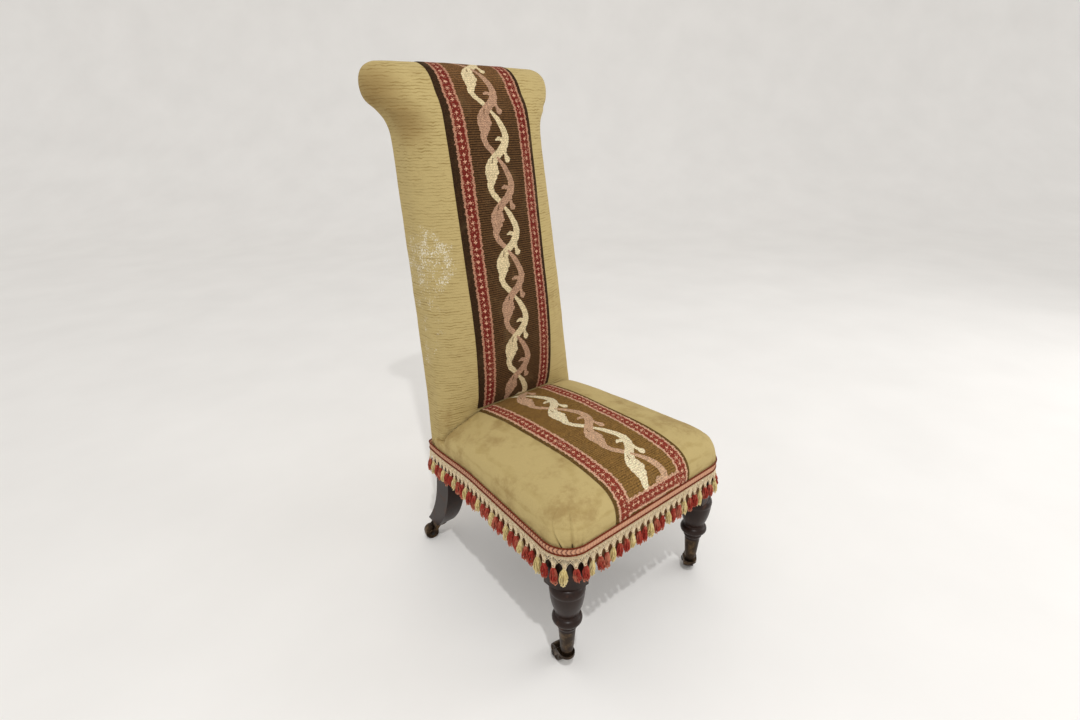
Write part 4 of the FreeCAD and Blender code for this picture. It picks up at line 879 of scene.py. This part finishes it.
def woven_braid(name):
    """Salmon braid with a chevron of brown picks, drawn faint along the front and strong on the sides, which
    is painted shade on the sides.
    """
    made, tree, shader = start_material(name, 0.9)
    weave = add_node(tree, "ShaderNodeUVMap", uv_map="weave").outputs["UV"]
    place = add_node(tree, "ShaderNodeSeparateXYZ", {"Vector": weave}).outputs
    arm = maths(tree, "ABSOLUTE", maths(tree, "SUBTRACT", place["Y"], CHEVRON_FOLD))
    way = maths(tree, "ADD", place["X"], maths(tree, "MULTIPLY", arm, CHEVRON_TILT))
    pick = maths(tree, "SINE", maths(tree, "MULTIPLY", way, 2 * math.pi / CHEVRON_PITCH))
    fleck = maths(tree, "MULTIPLY", patches(tree, 420, 0.56, 0.7), 0.5)
    salmon = blend_colours(tree, fleck, SALMON, PALE_SALMON)
    where = add_node(tree, "ShaderNodeTexCoord").outputs["Object"]
    across = add_node(tree, "ShaderNodeSeparateXYZ", {"Vector": where}).outputs["X"]
    # The chevrons are the braid's own; drawing them strong on the sides and faint in front is painted shade
    # on the sides.
    kept = ranged(tree, maths(tree, "ABSOLUTE", across), 0.165, 0.2, to_low=0.3)
    chevrons_with_side_shade = maths(tree, "MULTIPLY", ranged(tree, pick, 0.1, 0.7, to_high=0.9), kept)
    tree.links.new(blend_colours(tree, chevrons_with_side_shade, salmon, PICK_BROWN), shader.inputs["Base Color"])
    add_bump(tree, shader, pick, 0.5, 0.0008)
    return made


braid_mesh = swept("gimp_braid", BRAID_STEPS, braid_section)
place_piece("gimp_braid", braid_mesh, woven_braid("salmon_braid"), "salmon_braid", "gimp_braid")

# Cords: two brown cords, each twisted from two strands of wool. They are sewn along the upper and the lower
# edge of the braid, right round the seat.
CORD_LEVELS = (277.6, 291.4)
CORD_RADIUS, CORD_OUT, CORD_LAY, CORD_BULGE = 1.25, 5.0, 4.6, 0.2
CORD_STEPS = 1400


def cord_section(way, level):
    """A cord's outline, with the two strands turning as it goes along."""
    ring = []
    for turn in np.linspace(0, 2 * math.pi, 9):
        radius = CORD_RADIUS * (1 + CORD_BULGE * math.cos(2 * (turn - way / CORD_LAY * math.pi)))
        ring.append((CORD_OUT + radius * math.cos(turn), level + radius * math.sin(turn)))
    return ring


def yarn(name, dark, light, tip=None):
    """Wool or linen thread: fine fibres along it, paler at the cut ends where a tip colour is given."""
    made, tree, shader = start_material(name, 0.95)
    streak = clouds(tree, 1.0, 3.0, stretch=(900, 900, 160))
    shade = blend_colours(tree, ranged(tree, streak, 0.35, 0.62), dark, light)
    if tip:
        faded = maths(tree, "MULTIPLY", patches(tree, 48, 0.45, 0.75), 0.55)
        shade = blend_colours(tree, faded, shade, tip)
        # The lower ends are drawn paler: partly the fluff of the cut wool, partly a painted highlight.
        drop = add_node(tree, "ShaderNodeAttribute", attribute_name="drop").outputs["Fac"]
        shade = blend_colours(tree, ranged(tree, drop, 0.72, 1.0, to_high=0.7), shade, tip)
    tree.links.new(shade, shader.inputs["Base Color"])
    shader.inputs["Specular IOR Level"].default_value = 0.1
    add_bump(tree, shader, streak, 0.5, 0.0006)
    return made


cord_build = bmesh.new()
for cord_level in CORD_LEVELS:
    cord_build.from_mesh(swept("cord", CORD_STEPS, lambda way: cord_section(way, cord_level)))
brown_cord = yarn("brown_cord", paint(70, 26, 14), paint(128, 56, 32))
place_piece("gimp_cords", finished(cord_build, "gimp_cords"), brown_cord, "brown_cord", "gimp_cords")

# Fringe net: a dense heading of cream thread that is sewn under the braid. Below it the threads are drawn
# together in bunches and knotted, one knot for each tassel.
TASSELS = 105
TASSEL_OUT = 7.0
TASSEL_PITCH = TRIM_LONG / TASSELS
HEADING_TOP, HEADING_LOW, KNOT_LEVEL = 277, 269.5, 255
HEADING = (
    (2.6, HEADING_TOP), (3.5, HEADING_TOP), (3.8, 273), (3.5, HEADING_LOW), (2.6, HEADING_LOW),
    (2.6, HEADING_TOP))
# The run starts in the middle of the rear. A cream tassel hangs on the middle of the left front corner.
FIRST_TASSEL = 3.4
THREAD_PITCH = 1.7
BUNCH = (-13, -8, -5, -2.4, 0, 2.4, 5, 8, 13)
NECK_RADIUS = 2.1
HEADING_STEPS = 400
# Half thickness of a thread of the net, in metres.
NET_THREAD = 0.00055


def threads_mesh(name, lines, thick):
    """Round threads along lines of points as one mesh."""
    curve = bpy.data.curves.new(name, "CURVE")
    curve.dimensions = "3D"
    curve.bevel_depth = thick
    curve.bevel_resolution = 0
    for line in lines:
        spline = curve.splines.new("POLY")
        spline.points.add(len(line) - 1)
        spline.points.foreach_set("co", [value for point in line for value in (*point, 1)])
    mesh = plain_mesh(name, curve)
    bpy.data.curves.remove(curve)
    return mesh


def neck_ring(way, level):
    """A turn of thread round the neck of a tassel."""
    return [on_trim(way + NECK_RADIUS * math.cos(a), TASSEL_OUT + NECK_RADIUS * math.sin(a), level)
            for a in np.linspace(0, 2 * math.pi, 9)]


fringe_dice = random.Random(5)
net_lines = []
for number in range(int(TRIM_LONG / THREAD_PITCH)):
    way = number * THREAD_PITCH
    sway = fringe_dice.uniform(-0.9, 0.9)
    net_lines.append([
        on_trim(way, 3.6, HEADING_TOP),
        on_trim(way + sway * 0.5, 4.8 + fringe_dice.uniform(-0.5, 0.5), HEADING_TOP - 4.5),
        on_trim(way + sway, 4.2, HEADING_LOW - fringe_dice.uniform(-1, 3))])
for number in range(TASSELS):
    knot = number * TASSEL_PITCH + FIRST_TASSEL + fringe_dice.uniform(-1, 1)
    for offset in BUNCH:
        drift = fringe_dice.uniform(-0.9, 0.9)
        net_lines.append([
            on_trim(knot + offset + drift, 4.6, HEADING_LOW + 3),
            on_trim(knot + offset * 0.7, 5.6, HEADING_LOW - 3),
            on_trim(knot + offset * 0.26, 6.4 + fringe_dice.uniform(-0.6, 0.6), KNOT_LEVEL + 5),
            on_trim(knot + offset * 0.12, TASSEL_OUT, KNOT_LEVEL - 3)])
    net_lines += [neck_ring(knot, KNOT_LEVEL + rise) for rise in (0.6, -0.8)]
net_build = bmesh.new()
net_build.from_mesh(threads_mesh("net_threads", net_lines, NET_THREAD))
net_build.from_mesh(swept("heading", HEADING_STEPS, lambda way: HEADING))
cream_thread = yarn("cream_thread", paint(202, 178, 140), paint(238, 222, 190))
place_piece("fringe_net", finished(net_build, "fringe_net"), cream_thread, "cream_net", "fringe_net")

# Tassels: bunches of soft wool tied at the neck, two red ones and then a cream one, with pale fluffy ends
# that are partly a painted highlight.
# Each hangs from a knot of the net.
STRANDS = 36
STRAND_TURN = 2.39996
SHORTEST, LONGEST = 27, 34
# Half thickness of a strand, in metres.
WOOL_STRAND = 0.0009
# Share of the tassel's length and radius there.
TASSEL_OUTLINE = ((0, 1.1), (0.14, 1.8), (0.28, 4.0), (0.48, 5.9), (0.7, 6.6), (0.88, 6.4), (1, 5.2))


def tassel_lines(way):
    """The strands of one tassel: points down its outside, uneven in length and spread."""
    long = fringe_dice.uniform(SHORTEST, LONGEST)
    lean, swing = fringe_dice.uniform(-4, 4), fringe_dice.uniform(-0.5, 1.5)
    fat = fringe_dice.uniform(0.72, 1.0)
    lines = []
    for number in range(STRANDS):
        angle = number * STRAND_TURN
        deep = (1, 0.85, 0.5)[number % 3]
        reach = fringe_dice.uniform(0.82, 1.08)
        line = []
        for share, radius in TASSEL_OUTLINE:
            wide = radius * fat * deep * fringe_dice.uniform(0.8, 1.2)
            twist = angle + share * fringe_dice.uniform(-0.5, 0.5)
            along = way + lean * share + wide * math.cos(twist)
            out = TASSEL_OUT + swing * share + wide * math.sin(twist)
            line.append(on_trim(along, out, KNOT_LEVEL + 1 - share * long * reach))
        lines.append(line)
    return lines


def tassel_piece(name, numbers, material, slot):
    """Tassels of one colour, with the share of the drop kept on every point for the pale ends, partly a
    painted highlight.
    """
    lines = [line for number in numbers for line in tassel_lines(number * TASSEL_PITCH + FIRST_TASSEL)]
    mesh = threads_mesh(name, lines, WOOL_STRAND)
    heights = np.array([v.co.z for v in mesh.vertices]) * 1000
    sunk = trim_sink((np.array([v.co.y for v in mesh.vertices]) - LEG_Y) * 1000)
    drop = np.clip((KNOT_LEVEL + 1 - heights - sunk) / LONGEST, 0, 1)
    mesh.attributes.new("drop", "FLOAT", "POINT").data.foreach_set("value", drop.astype(np.float32))
    place_piece(name, mesh, material, slot, name)


red_wool = yarn("red_wool", paint(120, 36, 32), paint(178, 70, 56), paint(216, 156, 124))
cream_wool = yarn("cream_wool", paint(186, 162, 102), paint(226, 208, 150), paint(232, 216, 172))
tassel_piece("red_tassels", [n for n in range(TASSELS) if n % 3 != 2], red_wool, "red_wool")
tassel_piece("cream_tassels", [n for n in range(TASSELS) if n % 3 == 2], cream_wool, "cream_wool")
